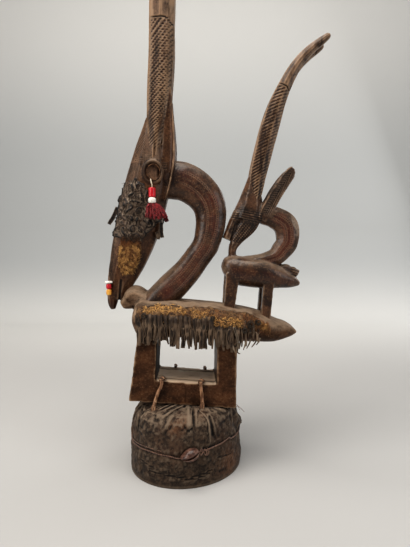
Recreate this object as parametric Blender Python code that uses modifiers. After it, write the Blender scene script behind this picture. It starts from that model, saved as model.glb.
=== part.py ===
"""Chiwara headdress: a carved antelope carrying its fawn, lashed to a cloth-covered cap.

The carving is one piece of wood. It faces -X, its near side is -Y, and the cap's rim
rests on z = 0. Everything is in metres. The whole model hangs from one empty, which moves
it along X until the origin lies under the middle of its length.
"""
import math

import bmesh
import bpy
from mathutils import Vector

# Driving sizes
GAP = 0.0003
CENTRE_SHIFT = 0.0018
TOTAL_HEIGHT = 0.880
SHARP_ANGLE = math.radians(35.0)

# Cap
CAP_X = -0.0505
CAP_RADIUS = 0.0885
CAP_WALL = 0.006
CAP_SIDES = 36
CAP_PLEATS = 12
CAP_OVAL = 0.035
CAP_OVAL_ANGLE = math.radians(225.0)
CAP_PROFILE = (
    (0.990, 0.000), (1.000, 0.012), (0.990, 0.034), (0.978, 0.056), (0.960, 0.076),
    (0.925, 0.090), (0.830, 0.099), (0.580, 0.105), (0.060, 0.109))
CAP_LINING = ((0.0, 0.102), (0.70, 0.094), (0.87, 0.076), (0.93, 0.0))
CAP_CROWN = 0.004
CAP_PLEAT_DEPTH = 0.018
CAP_PLEAT_RISE = 0.05
CAP_KNOT = 0.060
CAP_KNOT_HEIGHT = 0.060
CAP_KNOT_REACH = (0.16, 0.012)
GIRDLE_HEIGHT = 0.054
GIRDLE_THICKNESS = 0.0020

# Plinth: a board with two legs, leaning down towards the tail
PLINTH_HALF_WIDTH = 0.042
PLINTH_FRONT = -0.138
PLINTH_REAR = 0.027
PLINTH_BOTTOM_FRONT = 0.1117
PLINTH_BOTTOM_SLOPE = -0.0812
LEDGE_FRONT_HEIGHT = 0.1435
LEDGE_FRONT = -0.0965
LEDGE_SLOPE = -0.080
WINDOW_REAR = -0.003
LEG_TOP = 0.232
FRONT_LEG = (
    (None, PLINTH_FRONT, LEDGE_FRONT), (0.1506, -0.1317, LEDGE_FRONT),
    (0.1983, -0.1258, -0.0941), (LEG_TOP, -0.1220, -0.0930))
REAR_LEG = (
    (None, WINDOW_REAR, PLINTH_REAR), (0.1500, WINDOW_REAR, 0.0274),
    (0.1856, WINDOW_REAR, 0.0279), (LEG_TOP, WINDOW_REAR, 0.0290))
BOARD_INTO_LEG = 0.01

# Antelope. A station is x, z, half depth in the XZ plane, half width in Y.
BODY = (
    (-0.1325, 0.2350, 0.0130, 0.0360), (-0.1255, 0.2350, 0.0275, 0.0445),
    (-0.1084, 0.2348, 0.0318, 0.0470), (-0.0523, 0.2330, 0.0300, 0.0480),
    (0.0074, 0.2277, 0.0287, 0.0475), (0.0529, 0.2218, 0.0263, 0.0400),
    (0.0856, 0.2145, 0.0204, 0.0300), (0.1085, 0.2126, 0.0140, 0.0190),
    (0.1201, 0.2105, 0.0082, 0.0110), (0.1284, 0.2090, 0.0020, 0.0030))
BODY_SIDES = 16
HEAD = (
    (-0.1066, 0.5493, 0.0063, 0.0080), (-0.1046, 0.5074, 0.0220, 0.0190),
    (-0.1096, 0.4519, 0.0332, 0.0260), (-0.1178, 0.4117, 0.0348, 0.0250),
    (-0.1300, 0.3665, 0.0330, 0.0225), (-0.1423, 0.3267, 0.0278, 0.0190),
    (-0.1545, 0.2932, 0.0205, 0.0150), (-0.1600, 0.2775, 0.0155, 0.0125),
    (-0.1640, 0.2650, 0.0112, 0.0105))
MOUTH = ((-0.1540, 0.2945, 0.0006, 0.0250), (-0.1600, 0.2520, 0.0020, 0.0250))
UPPER_LIP = (
    (-0.1580, 0.3068, 0.0110, 0.0120), (-0.1660, 0.2870, 0.0094, 0.0120),
    (-0.1668, 0.2690, 0.0098, 0.0110), (-0.1672, 0.2570, 0.0090, 0.0100),
    (-0.1675, 0.2474, 0.0045, 0.0060))
CHIN_STRUT = (
    (-0.1050, 0.2600, 0.0160, 0.0220), (-0.1180, 0.2620, 0.0160, 0.0200),
    (-0.1325, 0.2660, 0.0195, 0.0170), (-0.1420, 0.2600, 0.0135, 0.0140),
    (-0.1525, 0.2545, 0.0072, 0.0115))
NECK = (
    (-0.0990, 0.4530, 0.0270, 0.0180), (-0.0788, 0.4528, 0.0301, 0.0200),
    (-0.0534, 0.4498, 0.0306, 0.0200), (-0.0304, 0.4360, 0.0290, 0.0195),
    (-0.0148, 0.4152, 0.0270, 0.0190), (-0.0109, 0.3879, 0.0243, 0.0185),
    (-0.0184, 0.3523, 0.0217, 0.0185), (-0.0345, 0.3275, 0.0212, 0.0190),
    (-0.0530, 0.3034, 0.0225, 0.0210), (-0.0771, 0.2793, 0.0237, 0.0240),
    (-0.1005, 0.2600, 0.0205, 0.0270), (-0.1200, 0.2440, 0.0150, 0.0250))
HORN = (
    (-0.1015, 0.4700, 0.0050), (-0.1000, 0.4950, 0.0085), (-0.0975, 0.5200, 0.0115),
    (-0.0950, 0.5425, 0.0150), (-0.0930, 0.5728, 0.0168), (-0.0905, 0.6031, 0.0181),
    (-0.0877, 0.6332, 0.0192), (-0.0868, 0.6632, 0.0193), (-0.0867, 0.6930, 0.0190))
HORN_HALF_WIDTH = 0.0105
HORN_SPACING = 0.0250
HORN_RIDGE_PITCH = 0.0120
HORN_RIDGE_DEPTH = 0.0016
HORN_RIDGE_TILT = math.radians(50.0)
HORN_TIP = (
    (-0.0867, 0.6960, 0.0193), (-0.0858, 0.7250, 0.0192), (-0.0838, 0.7600, 0.0178),
    (-0.0790, 0.8000, 0.0148), (-0.0705, 0.8400, 0.0100),
    (-0.0590, TOTAL_HEIGHT - 0.0035, 0.0040))
HORN_TIP_SPREAD = 0.006
EAR = (
    (-0.0735, 0.5900, 0.0015, 0.0020), (-0.0755, 0.5551, 0.0062, 0.0050),
    (-0.0760, 0.5251, 0.0098, 0.0075), (-0.0765, 0.4948, 0.0115, 0.0090),
    (-0.0775, 0.4721, 0.0110, 0.0090), (-0.0812, 0.4416, 0.0080, 0.0065),
    (-0.0854, 0.4187, 0.0035, 0.0030))
EAR_Y = 0.0200
EYE = (-0.1000, 0.4601)
EYE_RIM = (0.0142, 0.0162)
EYE_RIM_THICKNESS = 0.0030
EYE_HOLE = (0.0082, 0.0102)
EYE_HOLE_DEPTH = 0.010

# Fawn
FAWN_BODY = (
    (0.0081, 0.3082, 0.0060, 0.0120), (0.0125, 0.3097, 0.0150, 0.0190),
    (0.0202, 0.3110, 0.0222, 0.0240), (0.0363, 0.3084, 0.0239, 0.0270),
    (0.0686, 0.3049, 0.0242, 0.0270), (0.0914, 0.2995, 0.0195, 0.0240),
    (0.1159, 0.2924, 0.0119, 0.0160), (0.1301, 0.2890, 0.0053, 0.0080),
    (0.1332, 0.2888, 0.0020, 0.0030))
FAWN_HEAD = (
    (0.0545, 0.4600, 0.0075, 0.0100), (0.0515, 0.4139, 0.0205, 0.0180),
    (0.0408, 0.3821, 0.0220, 0.0175), (0.0345, 0.3690, 0.0195, 0.0155))
FAWN_NOSE = ((0.0290, 0.3760, 0.0110, 0.0125), (0.0161, 0.3571, 0.0076, 0.0100))
FAWN_JAW = (
    (0.0410, 0.3780, 0.0170, 0.0130), (0.0345, 0.3610, 0.0130, 0.0120),
    (0.0250, 0.3405, 0.0050, 0.0090), (0.0238, 0.3300, 0.0045, 0.0085))
FAWN_NECK = (
    (0.0550, 0.4011, 0.0145, 0.0120), (0.0747, 0.3980, 0.0153, 0.0125),
    (0.0908, 0.3941, 0.0170, 0.0130), (0.1094, 0.3810, 0.0190, 0.0130),
    (0.1122, 0.3564, 0.0172, 0.0130), (0.1034, 0.3419, 0.0160, 0.0130),
    (0.0929, 0.3315, 0.0138, 0.0140), (0.0719, 0.3258, 0.0105, 0.0150),
    (0.0444, 0.3234, 0.0090, 0.0150), (0.0280, 0.3220, 0.0070, 0.0120))
FAWN_HORN = (
    (0.0560, 0.4000, 0.0100), (0.0605, 0.4250, 0.0120), (0.0628, 0.4572, 0.0126),
    (0.0733, 0.5020, 0.0137), (0.0842, 0.5435, 0.0137), (0.0934, 0.5726, 0.0122),
    (0.1035, 0.5960, 0.0104))
FAWN_HORN_HALF_WIDTH = 0.0070
FAWN_HORN_SPACING = 0.0190
FAWN_RIDGE_PITCH = 0.0095
FAWN_RIDGE_DEPTH = 0.0011
FAWN_RIDGE_TILT = math.radians(40.0)
FAWN_HORN_TIP = (
    (0.1035, 0.5960, 0.0107), (0.1143, 0.6169, 0.0090), (0.1281, 0.6368, 0.0078),
    (0.1435, 0.6521, 0.0063), (0.1589, 0.6636, 0.0045), (0.1722, 0.6732, 0.0018))
FAWN_TIP_SPREAD = 0.009
FAWN_EAR = (
    (0.0700, 0.3900, 0.0060, 0.0050), (0.0808, 0.4139, 0.0088, 0.0065),
    (0.0940, 0.4342, 0.0093, 0.0065), (0.1080, 0.4540, 0.0090, 0.0055),
    (0.1165, 0.4668, 0.0070, 0.0040), (0.1198, 0.4718, 0.0035, 0.0025))
FAWN_EAR_Y = 0.0125
FAWN_TAIL = (
    (0.0960, 0.3070, 0.0049, 0.0050), (0.1110, 0.3115, 0.0049, 0.0060),
    (0.1170, 0.3080, 0.0032, 0.0050), (0.1224, 0.3064, 0.0045, 0.0055),
    (0.1320, 0.3040, 0.0040, 0.0045))
FAWN_LEG_Y = 0.0165
FAWN_FRONT_LEG = ((0.0230, 0.3050, 0.0106, 0.0062), (0.0165, 0.2400, 0.0080, 0.0062))
FAWN_HIND_LEG = ((0.0800, 0.2950, 0.0082, 0.0062), (0.0735, 0.2220, 0.0073, 0.0062))

# Hide band with its fringe, on both flanks of the antelope
BAND_THICKNESS = 0.0022
BAND_FRONT = -0.1258
BAND_REAR = 0.0700
FRINGE_STRIP = 0.0096
FRINGE_SLIT = 0.0016
FRINGE_THICKNESS = 0.0014
FRINGE_END_HEIGHT = 0.2005
FRINGE_SLOPE = -0.075

# Trimmings
RING_SIDES = 14
FACE_HIDE_THICKNESS = 0.0016
FACE_HIDE_HEIGHTS = (0.300, 0.435)
FACE_HIDE_HALF = 0.40
THONG_THICKNESS = 0.0058
THONG_NEAR_X = ((-0.0868, -0.0990), (-0.0275, -0.0255))
THONG_FAR_X = ((-0.0695, -0.0760), (-0.0191, -0.0150))
COWRIE = (0.0250, 0.0170, 0.0105)
COWRIE_TILT = 0.25
COWRIE_DROP = 0.0010
COWRIE_ANGLES = {"front": math.radians(-86.0), "back": math.radians(92.0)}
BRASS_WIRE = 0.0022
BRASS_RING = (0.0100, 0.0120)
EARRING_X = -0.1008
EARRING_OUT = 0.0078
THREAD_THICKNESS = 0.0016
RED_BEAD = (0.0052, 0.0144)
WHITE_BEAD = (0.0058, 0.0088)
EARRING_TOP = 0.4353
TASSEL_HEIGHT = 0.0258
TASSEL_TOP_HALF = 0.0060
TASSEL_END_HALF = 0.0172
TASSEL_STRANDS = 8
TASSEL_SWING = 0.0050
TASSEL_HALF_DEPTH = (0.0048, 0.0062)
MUZZLE_BEAD_PLACE = (-0.1732, -0.0160)
MUZZLE_BEADS = (
    ("white", 0.2907, 0.0046, 0.0032), ("red", 0.2845, 0.0036, 0.0068),
    ("yellow", 0.2768, 0.0036, 0.0068))

# Scraps of hide: name, y, then top and end as x and z
HIDE_STRIP_HALF = (0.0026, 0.0007)
HIDE_STRIPS = (
    ("hide_strip_front", 0.0, (-0.1585, 0.4095), (-0.1727, 0.3829)),
    ("hide_strip_throat", -0.0180, (-0.0885, 0.3846), (-0.0870, 0.3609)),
    ("hide_strip_jaw", -0.0180, (-0.0950, 0.3700), (-0.0935, 0.3585)))

# Unit outlines, as half depth and half width
OCTAGON = ((-1.0, -0.42), (-0.45, -1.0), (0.45, -1.0), (1.0, -0.50),
           (1.0, 0.50), (0.45, 1.0), (-0.45, 1.0), (-1.0, 0.42))
HORN_OUTLINE = ((-1.0, -0.40), (-0.42, -1.0), (0.72, -1.0), (1.0, -0.55),
                (1.0, 0.55), (0.72, 1.0), (-0.42, 1.0), (-1.0, 0.40))
FAWN_HORN_OUTLINE = ((-1.0, -0.45), (0.1, -1.0), (1.0, -0.45),
                     (1.0, 0.45), (0.1, 1.0), (-1.0, 0.45))
BOX_OUTLINE = ((-1.0, -1.0), (1.0, -1.0), (1.0, 1.0), (-1.0, 1.0))
EAR_OUTLINE = ((-1.0, 0.30), (-0.30, 0.70), (0.70, 0.65), (1.0, 0.0), (0.85, -0.90),
               (0.60, -0.80), (0.55, -0.10), (0.20, 0.15), (-0.85, 0.05))


def clear_scene():
    for thing in list(bpy.data.objects):
        bpy.data.objects.remove(thing, do_unlink=True)


def make_collection(name):
    collection = bpy.data.collections.new(name)
    bpy.context.scene.collection.children.link(collection)
    return collection


def make_material(name, colour, roughness, metallic=0.0):
    material = bpy.data.materials.new(name)
    material.use_nodes = True
    shader = material.node_tree.nodes["Principled BSDF"]
    shader.inputs["Base Color"].default_value = (*colour, 1.0)
    shader.inputs["Roughness"].default_value = roughness
    shader.inputs["Metallic"].default_value = metallic
    material.diffuse_color = (*colour, 1.0)
    return material


def smooth_rows(rows, steps):
    """Rows of numbers joined by a Catmull-Rom curve, with steps rows to each span."""
    ends = [rows[0], *rows, rows[-1]]
    smooth = []
    for i in range(1, len(ends) - 2):
        for k in range(steps):
            t = k / steps
            smooth.append(tuple(
                0.5 * (2 * b + (c - a) * t + (2 * a - 5 * b + 4 * c - d) * t ** 2
                       + (3 * b - a - 3 * c + d) * t ** 3)
                for a, b, c, d in zip(*ends[i - 1:i + 3])))
    smooth.append(tuple(rows[-1]))
    return smooth


def row_at(rows, column, value):
    """The row where one column reaches a value, read straight between two rows."""
    for low, high in zip(rows, rows[1:]):
        if low[column] <= value <= high[column]:
            t = (value - low[column]) / (high[column] - low[column])
            return tuple(a + (b - a) * t for a, b in zip(low, high))
    return rows[-1]


def make_object(name, mesh, collection, material=None):
    item = bpy.data.objects.new(name, mesh)
    if material:
        mesh.materials.append(material)
    collection.objects.link(item)
    return item


def loft(name, rings, collection, material=None, closed=False):
    """A closed mesh through rings of points, capped at both ends or joined into a loop."""
    bm = bmesh.new()
    loops = [[bm.verts.new(point) for point in ring] for ring in rings]
    count = len(rings[0])
    pairs = list(zip(loops, loops[1:]))
    if closed:
        pairs.append((loops[-1], loops[0]))
    else:
        bm.faces.new(list(reversed(loops[0])))
        bm.faces.new(loops[-1])
    for low, high in pairs:
        for i in range(count):
            j = (i + 1) % count
            bm.faces.new((low[i], low[j], high[j]))
            bm.faces.new((low[i], high[j], high[i]))
    bmesh.ops.recalc_face_normals(bm, faces=bm.faces)
    mesh = bpy.data.meshes.new(name)
    bm.to_mesh(mesh)
    bm.free()
    mesh.shade_smooth()
    mesh.set_sharp_from_angle(angle=SHARP_ANGLE)
    return make_object(name, mesh, collection, material)


def frame_at(rows, i):
    """Directions along and across a spine in the XZ plane."""
    before = rows[max(i - 1, 0)]
    after = rows[min(i + 1, len(rows) - 1)]
    along = Vector((after[0] - before[0], 0.0, after[1] - before[1])).normalized()
    return along, Vector((-along.z, 0.0, along.x))


def spine_rings(stations, outline, steps=2, y=0.0, side=1.0):
    """Rings round a spine; across points up on the body and out on the neck and face."""
    rows = smooth_rows(stations, steps)
    rings = []
    for i, (x, z, depth, width) in enumerate(rows):
        across = frame_at(rows, i)[1]
        centre = Vector((x, y, z))
        rings.append([
            centre + across * (u * depth) + Vector((0.0, side * v * width, 0.0))
            for u, v in outline])
    return rings


def round_outline(sides, power):
    """A unit outline between an ellipse and a box, starting at the top."""
    outline = []
    for k in range(sides):
        c = math.cos(2 * math.pi * k / sides)
        s = math.sin(2 * math.pi * k / sides)
        outline.append((math.copysign(abs(c) ** power, c), -math.copysign(abs(s) ** power, s)))
    return outline


def ridged_horn_rings(stations, outline, half_width, centre_y, pitch, depth_cut, tilt):
    """A horn shaft whose crests and grooves lie on slanting planes that rise to the rear.

    The narrow front face stays smooth, so grooves cut only the flanks and the rear."""
    rows = smooth_rows(stations, 8)
    lengths = [0.0]
    for a, b in zip(rows, rows[1:]):
        lengths.append(lengths[-1] + math.hypot(b[0] - a[0], b[1] - a[1]))
    measured = [(length, *row) for length, row in zip(lengths, rows)]
    count = int(lengths[-1] / (pitch / 2))
    slant = math.tan(tilt)
    rings = []
    for k in range(count + 1):
        _, x, z, depth = row_at(measured, 0, k * pitch / 2)
        ahead = row_at(measured, 0, min(k * pitch / 2 + pitch, lengths[-1]))
        behind = row_at(measured, 0, max(k * pitch / 2 - pitch, 0.0))
        along = Vector((ahead[1] - behind[1], 0.0, ahead[2] - behind[2])).normalized()
        across = Vector((along.z, 0.0, -along.x))
        cut = depth_cut if k % 2 else 0.0
        ring = []
        for u, v in outline:
            back = u * (depth - cut * max(u, 0.0))
            ring.append(Vector((x, centre_y, z)) + across * back + along * (back * slant)
                        + Vector((0.0, v * (half_width - cut * (abs(v) == 1.0)), 0.0)))
        rings.append(ring)
    return rings


def horn_tip_rings(stations, outline, half_width, centre_y, spread, side):
    """The smooth end of a horn, which swings outwards as it thins."""
    rows = [(*row, math.sqrt(row[2] / stations[0][2])) for row in stations]
    rings = []
    for i, (x, z, depth, thin) in enumerate(rows):
        along, across = frame_at(rows, i)
        swing = side * spread * (i / (len(rows) - 1)) ** 1.5
        rings.append([
            Vector((x, centre_y + swing + v * half_width * thin, z)) - across * (u * depth)
            for u, v in outline])
    return rings


def oval_ring(name, centre, radii, wire, collection, material=None):
    """A closed oval ring of wire standing in the XZ plane."""
    bpy.ops.mesh.primitive_torus_add(
        location=centre, rotation=(math.pi / 2, 0.0, 0.0), major_segments=RING_SIDES,
        minor_segments=4, major_radius=radii[0], minor_radius=wire)
    item = bpy.context.object
    item.name = name
    item.scale.y = radii[1] / radii[0]
    for group in item.users_collection:
        group.objects.unlink(item)
    collection.objects.link(item)
    if material:
        item.data.materials.append(material)
    return item


def tube(name, points, thickness, collection, material, cyclic=False, sides_step=1):
    """A round cord or strap along hand-chosen points."""
    curve = bpy.data.curves.new(name, "CURVE")
    curve.dimensions = "3D"
    curve.bevel_depth = thickness / 2
    curve.bevel_resolution = sides_step
    curve.use_fill_caps = True
    spline = curve.splines.new("POLY")
    spline.points.add(len(points) - 1)
    for place, point in zip(spline.points, points):
        place.co = (*point, 1.0)
    spline.use_cyclic_u = cyclic
    curve.materials.append(material)
    item = bpy.data.objects.new(name, curve)
    collection.objects.link(item)
    return item


def turned(name, profile, centre, sides, collection, material):
    """A bead: a profile of radius and height, spun about its own upright line."""
    points = [(0.0, 0.0, profile[-1][1])]
    points += [(radius, 0.0, height) for radius, height in reversed(profile)]
    points.append((0.0, 0.0, profile[0][1]))
    mesh = bpy.data.meshes.new(name)
    mesh.from_pydata(points, [(i, i + 1) for i in range(len(points) - 1)], [])
    item = make_object(name, mesh, collection, material)
    item.location = centre
    screw = item.modifiers.new("spin", "SCREW")
    screw.steps = screw.render_steps = sides
    screw.use_merge_vertices = True
    screw.merge_threshold = 0.00001
    screw.use_smooth_shade = True
    return item


def join_with(item, group, operation):
    """A Boolean with every object of a helper collection."""
    boolean = item.modifiers.new(operation.lower(), "BOOLEAN")
    boolean.operation = operation
    boolean.operand_type = "COLLECTION"
    boolean.collection = group
    boolean.solver = "EXACT"


def hide_helpers(group):
    for item in group.objects:
        item.display_type = "WIRE"
        item.hide_render = True


def plinth_bottom(x):
    return PLINTH_BOTTOM_FRONT + PLINTH_BOTTOM_SLOPE * (x - PLINTH_FRONT)


def ledge_top(x):
    return LEDGE_FRONT_HEIGHT + LEDGE_SLOPE * (x - LEDGE_FRONT)


def cap_point(angle, factor, height):
    """A point of the cap's cloth, gathered into pleats above the girdle cord."""
    oval = 1.0 + CAP_OVAL * math.cos(2 * (angle - CAP_OVAL_ANGLE))
    gather = max(0.0, (height - GIRDLE_HEIGHT) / CAP_PLEAT_RISE)
    pleat = CAP_PLEAT_DEPTH * gather * math.cos(CAP_PLEATS * angle) * min(1.0, 2 * factor)
    turn = math.remainder(angle, 2 * math.pi) / CAP_KNOT_REACH[0]
    rise = (height - CAP_KNOT_HEIGHT) / CAP_KNOT_REACH[1]
    knot = CAP_KNOT * math.exp(-turn ** 2 - rise ** 2)
    radius = CAP_RADIUS * factor * (oval + pleat + knot)
    x = CAP_X + radius * math.cos(angle)
    return Vector((x, radius * math.sin(angle), min(height, plinth_bottom(x) - GAP)))


def cap_angles():
    return [2 * math.pi * k / CAP_SIDES for k in range(CAP_SIDES)]


def cap_height_at(x, y):
    """How high the cloth can reach at a place of the cap's top."""
    reach = math.hypot(x - CAP_X, y) / CAP_RADIUS
    for (f0, z0), (f1, z1) in zip(CAP_PROFILE, CAP_PROFILE[1:]):
        if f1 <= reach <= f0:
            return z0 + (z1 - z0) * (f0 - reach) / (f0 - f1)
    return CAP_PROFILE[-1][1]


def build_cap(parts, material):
    """A hollow dome, open below, with a flat rim."""
    outer = [[cap_point(a, f, z) for a in cap_angles()] for f, z in CAP_PROFILE]
    inner = []
    for factor, height in CAP_LINING:
        ring = []
        for a in cap_angles():
            oval = 1.0 + CAP_OVAL * math.cos(2 * (a - CAP_OVAL_ANGLE))
            radius = max(CAP_RADIUS * factor * oval, CAP_CROWN)
            x = CAP_X + radius * math.cos(a)
            z = min(height, plinth_bottom(x) - CAP_WALL)
            ring.append(Vector((x, radius * math.sin(a), z)))
        inner.append(ring)
    loft("cap", inner + outer, parts, material)


def build_girdle(parts, cord_material):
    reach = GAP * 2 + GIRDLE_THICKNESS / 2
    points = []
    for a in cap_angles():
        cloth = cap_point(a, row_at([(z, f) for f, z in CAP_PROFILE], 0, GIRDLE_HEIGHT)[1],
                          GIRDLE_HEIGHT)
        points.append(cloth + Vector((math.cos(a), math.sin(a), 0.0)) * reach)
    tube("girdle_cord", points, GIRDLE_THICKNESS, parts, cord_material, cyclic=True, sides_step=0)


def build_cowrie(name, angle, parts, material):
    """A cowrie shell: a domed oval with a flat back, tied against the girdle cord."""
    length, height, thickness = COWRIE
    factor = row_at([(z, f) for f, z in CAP_PROFILE], 0, GIRDLE_HEIGHT)[1]
    back = cap_point(angle, factor, GIRDLE_HEIGHT)
    out = Vector((math.cos(angle), math.sin(angle), 0.0))
    across = Vector((-out.y, out.x, 0.0))
    start = back + out * (GIRDLE_THICKNESS + 4 * GAP) - Vector((0.0, 0.0, COWRIE_DROP))
    long_way = across + Vector((0.0, 0.0, COWRIE_TILT))
    rings = []
    for k in range(5):
        rise = math.radians(90.0 * k / 5)
        scale = math.cos(rise)
        rings.append([
            start + out * (thickness * math.sin(rise))
            + long_way * (length / 2 * scale * math.cos(a))
            + Vector((0.0, 0.0, height / 2 * scale * math.sin(a) * (1.0 + 0.15 * math.cos(a))))
            for a in (2 * math.pi * j / 12 for j in range(12))])
    loft(name, rings, parts, material)


def build_plinth(forms):
    """The board and the two legs, as boxes whose faces lean with the carving."""
    wide = PLINTH_HALF_WIDTH
    board = []
    for x in (LEDGE_FRONT - BOARD_INTO_LEG, WINDOW_REAR + BOARD_INTO_LEG):
        low, high = plinth_bottom(x), ledge_top(x)
        board.append([Vector((x, -wide, low)), Vector((x, wide, low)),
                      Vector((x, wide, high)), Vector((x, -wide, high))])
    loft("board", board, forms)
    for name, levels in (("front_leg", FRONT_LEG), ("rear_leg", REAR_LEG)):
        rings = []
        for height, front, rear in levels:
            at_front = height or plinth_bottom(front)
            at_rear = height or plinth_bottom(rear)
            rings.append([Vector((front, -wide, at_front)), Vector((rear, -wide, at_rear)),
                          Vector((rear, wide, at_rear)), Vector((front, wide, at_front))])
        loft(name, rings, forms)


def build_horns(forms, prefix, shaft, tip, outline, half_width, spacing, pitch, cut, tilt, spread):
    for label, side in (("near", -1.0), ("far", 1.0)):
        y = side * spacing / 2
        beyond = smooth_rows([*shaft, *[row for row in tip[1:2]]], 1)
        loft(prefix + "_shaft_" + label,
             ridged_horn_rings(beyond, outline, half_width, y, pitch, cut, tilt), forms)
        loft(prefix + "_tip_" + label,
             horn_tip_rings(tip, outline, half_width + 0.0006, y, spread, side), forms)


def build_carving(parts, forms, cutters, material):
    """Antelope, fawn and plinth, cut from one block."""
    body = loft("carving", spine_rings(BODY, round_outline(BODY_SIDES, 0.85), 1), parts, material)
    loft("head", spine_rings(HEAD, OCTAGON), forms)
    loft("upper_lip", spine_rings(UPPER_LIP, OCTAGON, 1), forms)
    loft("chin_strut", spine_rings(CHIN_STRUT, OCTAGON, 1), forms)
    loft("neck", spine_rings(NECK, OCTAGON), forms)
    build_plinth(forms)
    build_horns(forms, "horn", HORN, HORN_TIP, HORN_OUTLINE, HORN_HALF_WIDTH, HORN_SPACING,
                HORN_RIDGE_PITCH, HORN_RIDGE_DEPTH, HORN_RIDGE_TILT, HORN_TIP_SPREAD)
    build_horns(forms, "fawn_horn", FAWN_HORN, FAWN_HORN_TIP, FAWN_HORN_OUTLINE,
                FAWN_HORN_HALF_WIDTH, FAWN_HORN_SPACING, FAWN_RIDGE_PITCH, FAWN_RIDGE_DEPTH,
                FAWN_RIDGE_TILT, FAWN_TIP_SPREAD)
    loft("fawn_body", spine_rings(FAWN_BODY, round_outline(12, 0.9), 1), forms)
    loft("fawn_head", spine_rings(FAWN_HEAD, OCTAGON), forms)
    loft("fawn_nose", spine_rings(FAWN_NOSE, OCTAGON, 1), forms)
    loft("fawn_jaw", spine_rings(FAWN_JAW, OCTAGON, 1), forms)
    loft("fawn_neck", spine_rings(FAWN_NECK, OCTAGON), forms)
    loft("fawn_tail", spine_rings(FAWN_TAIL, OCTAGON, 1), forms)
    for label, side in (("near", -1.0), ("far", 1.0)):
        loft("ear_" + label, spine_rings(EAR, EAR_OUTLINE, 1, side * EAR_Y, -side), forms)
        loft("fawn_ear_" + label,
             spine_rings(FAWN_EAR, EAR_OUTLINE, 1, side * FAWN_EAR_Y, -side), forms)
        for leg, stations in (("front", FAWN_FRONT_LEG), ("hind", FAWN_HIND_LEG)):
            loft("fawn_leg_" + leg + "_" + label,
                 spine_rings(stations, BOX_OUTLINE, 1, side * FAWN_LEG_Y), forms)
        face = side * HEAD[2][3]
        oval_ring("eye_rim_" + label, (EYE[0], face, EYE[1]), EYE_RIM, EYE_RIM_THICKNESS, forms)
        hole = []
        for depth, scale in ((0.004, 1.1), (-EYE_HOLE_DEPTH, 0.55)):
            hole.append([
                Vector((EYE[0] + EYE_HOLE[0] * scale * math.cos(a), face + side * depth,
                        EYE[1] + EYE_HOLE[1] * scale * math.sin(a)))
                for a in (2 * math.pi * k / 12 for k in range(12))])
        loft("eye_hole_" + label, hole, cutters)
    loft("mouth_slot", spine_rings(MOUTH, BOX_OUTLINE, 1), cutters)
    join_with(body, forms, "UNION")
    join_with(body, cutters, "DIFFERENCE")


def flank_rings(side, grow_in, grow_out, first, last):
    """Rings of a skin over the body's flank, from its shoulder line to its widest line.

    They run the same way round as the body's rings, so the two skins split alike."""
    outline = round_outline(BODY_SIDES, 0.85)
    picks = [outline[k] for k in (2, 3, 4)]
    rows = BODY
    rings = []
    for i, (x, z, depth, width) in enumerate(rows):
        if not first <= x <= last:
            continue
        across = frame_at(rows, i)[1]
        centre = Vector((x, 0.0, z))
        ring = []
        for grow, order in ((grow_in, picks), (grow_out, picks[::-1])):
            for u, v in order:
                ring.append(centre + across * (u * (depth + grow))
                            + Vector((0.0, -side * v * (width + grow), 0.0)))
        rings.append(ring if side < 0 else ring[::-1])
    return rings


def build_band(name, side, parts, strips, material):
    """A hide band over one flank, with strips hanging from its lower edge."""
    inner, outer = 2 * GAP, 2 * GAP + BAND_THICKNESS
    band = loft(name, flank_rings(side, inner, outer, BAND_FRONT, BODY[6][0]), parts, material)
    pitch = FRINGE_STRIP + FRINGE_SLIT
    count = int((BAND_REAR - BAND_FRONT) / pitch)
    for k in range(count):
        x = BAND_FRONT + 0.0012 + k * pitch
        near_row = row_at(BODY, 0, x)
        far_row = row_at(BODY, 0, x + FRINGE_STRIP)
        wave = 0.0035 * math.sin(2.3 * k) + 0.0025 * math.sin(5.1 * k + 1.0)
        end = FRINGE_END_HEIGHT + FRINGE_SLOPE * (x - BAND_FRONT) + wave
        if k > count - 6:
            end += 0.002 * (k - count + 6)
        lean = 0.0015 * math.sin(1.7 * k)
        top = near_row[1] + 0.0020
        rings = []
        for height, shift in ((top, 0.0), (end, lean)):
            ring = []
            for px, row, out in ((x, near_row, 0), (x + FRINGE_STRIP, far_row, 0),
                                 (x + FRINGE_STRIP, far_row, 1), (x, near_row, 1)):
                y = row[3] + inner + 0.0002 + out * FRINGE_THICKNESS
                ring.append(Vector((px + shift, side * y, height)))
            rings.append(ring)
        loft(name + "_strip_" + str(k), rings, strips)
    join_with(band, strips, "UNION")


def build_face_hide(name, side, parts, material):
    """A patch of matted hide on one flat cheek of the head."""
    rows = smooth_rows(HEAD, 2)
    inner, outer = 2 * GAP, 2 * GAP + FACE_HIDE_THICKNESS
    rings = []
    for i, (x, z, depth, width) in enumerate(rows):
        if not FACE_HIDE_HEIGHTS[0] <= z <= FACE_HIDE_HEIGHTS[1]:
            continue
        across = frame_at(rows, i)[1]
        ring = []
        for u, out in ((-FACE_HIDE_HALF, inner), (FACE_HIDE_HALF, inner),
                       (FACE_HIDE_HALF, outer), (-FACE_HIDE_HALF, outer)):
            ring.append(Vector((x, side * (width + out), z)) + across * (u * depth))
        rings.append(ring)
    loft(name, rings, parts, material)


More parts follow.
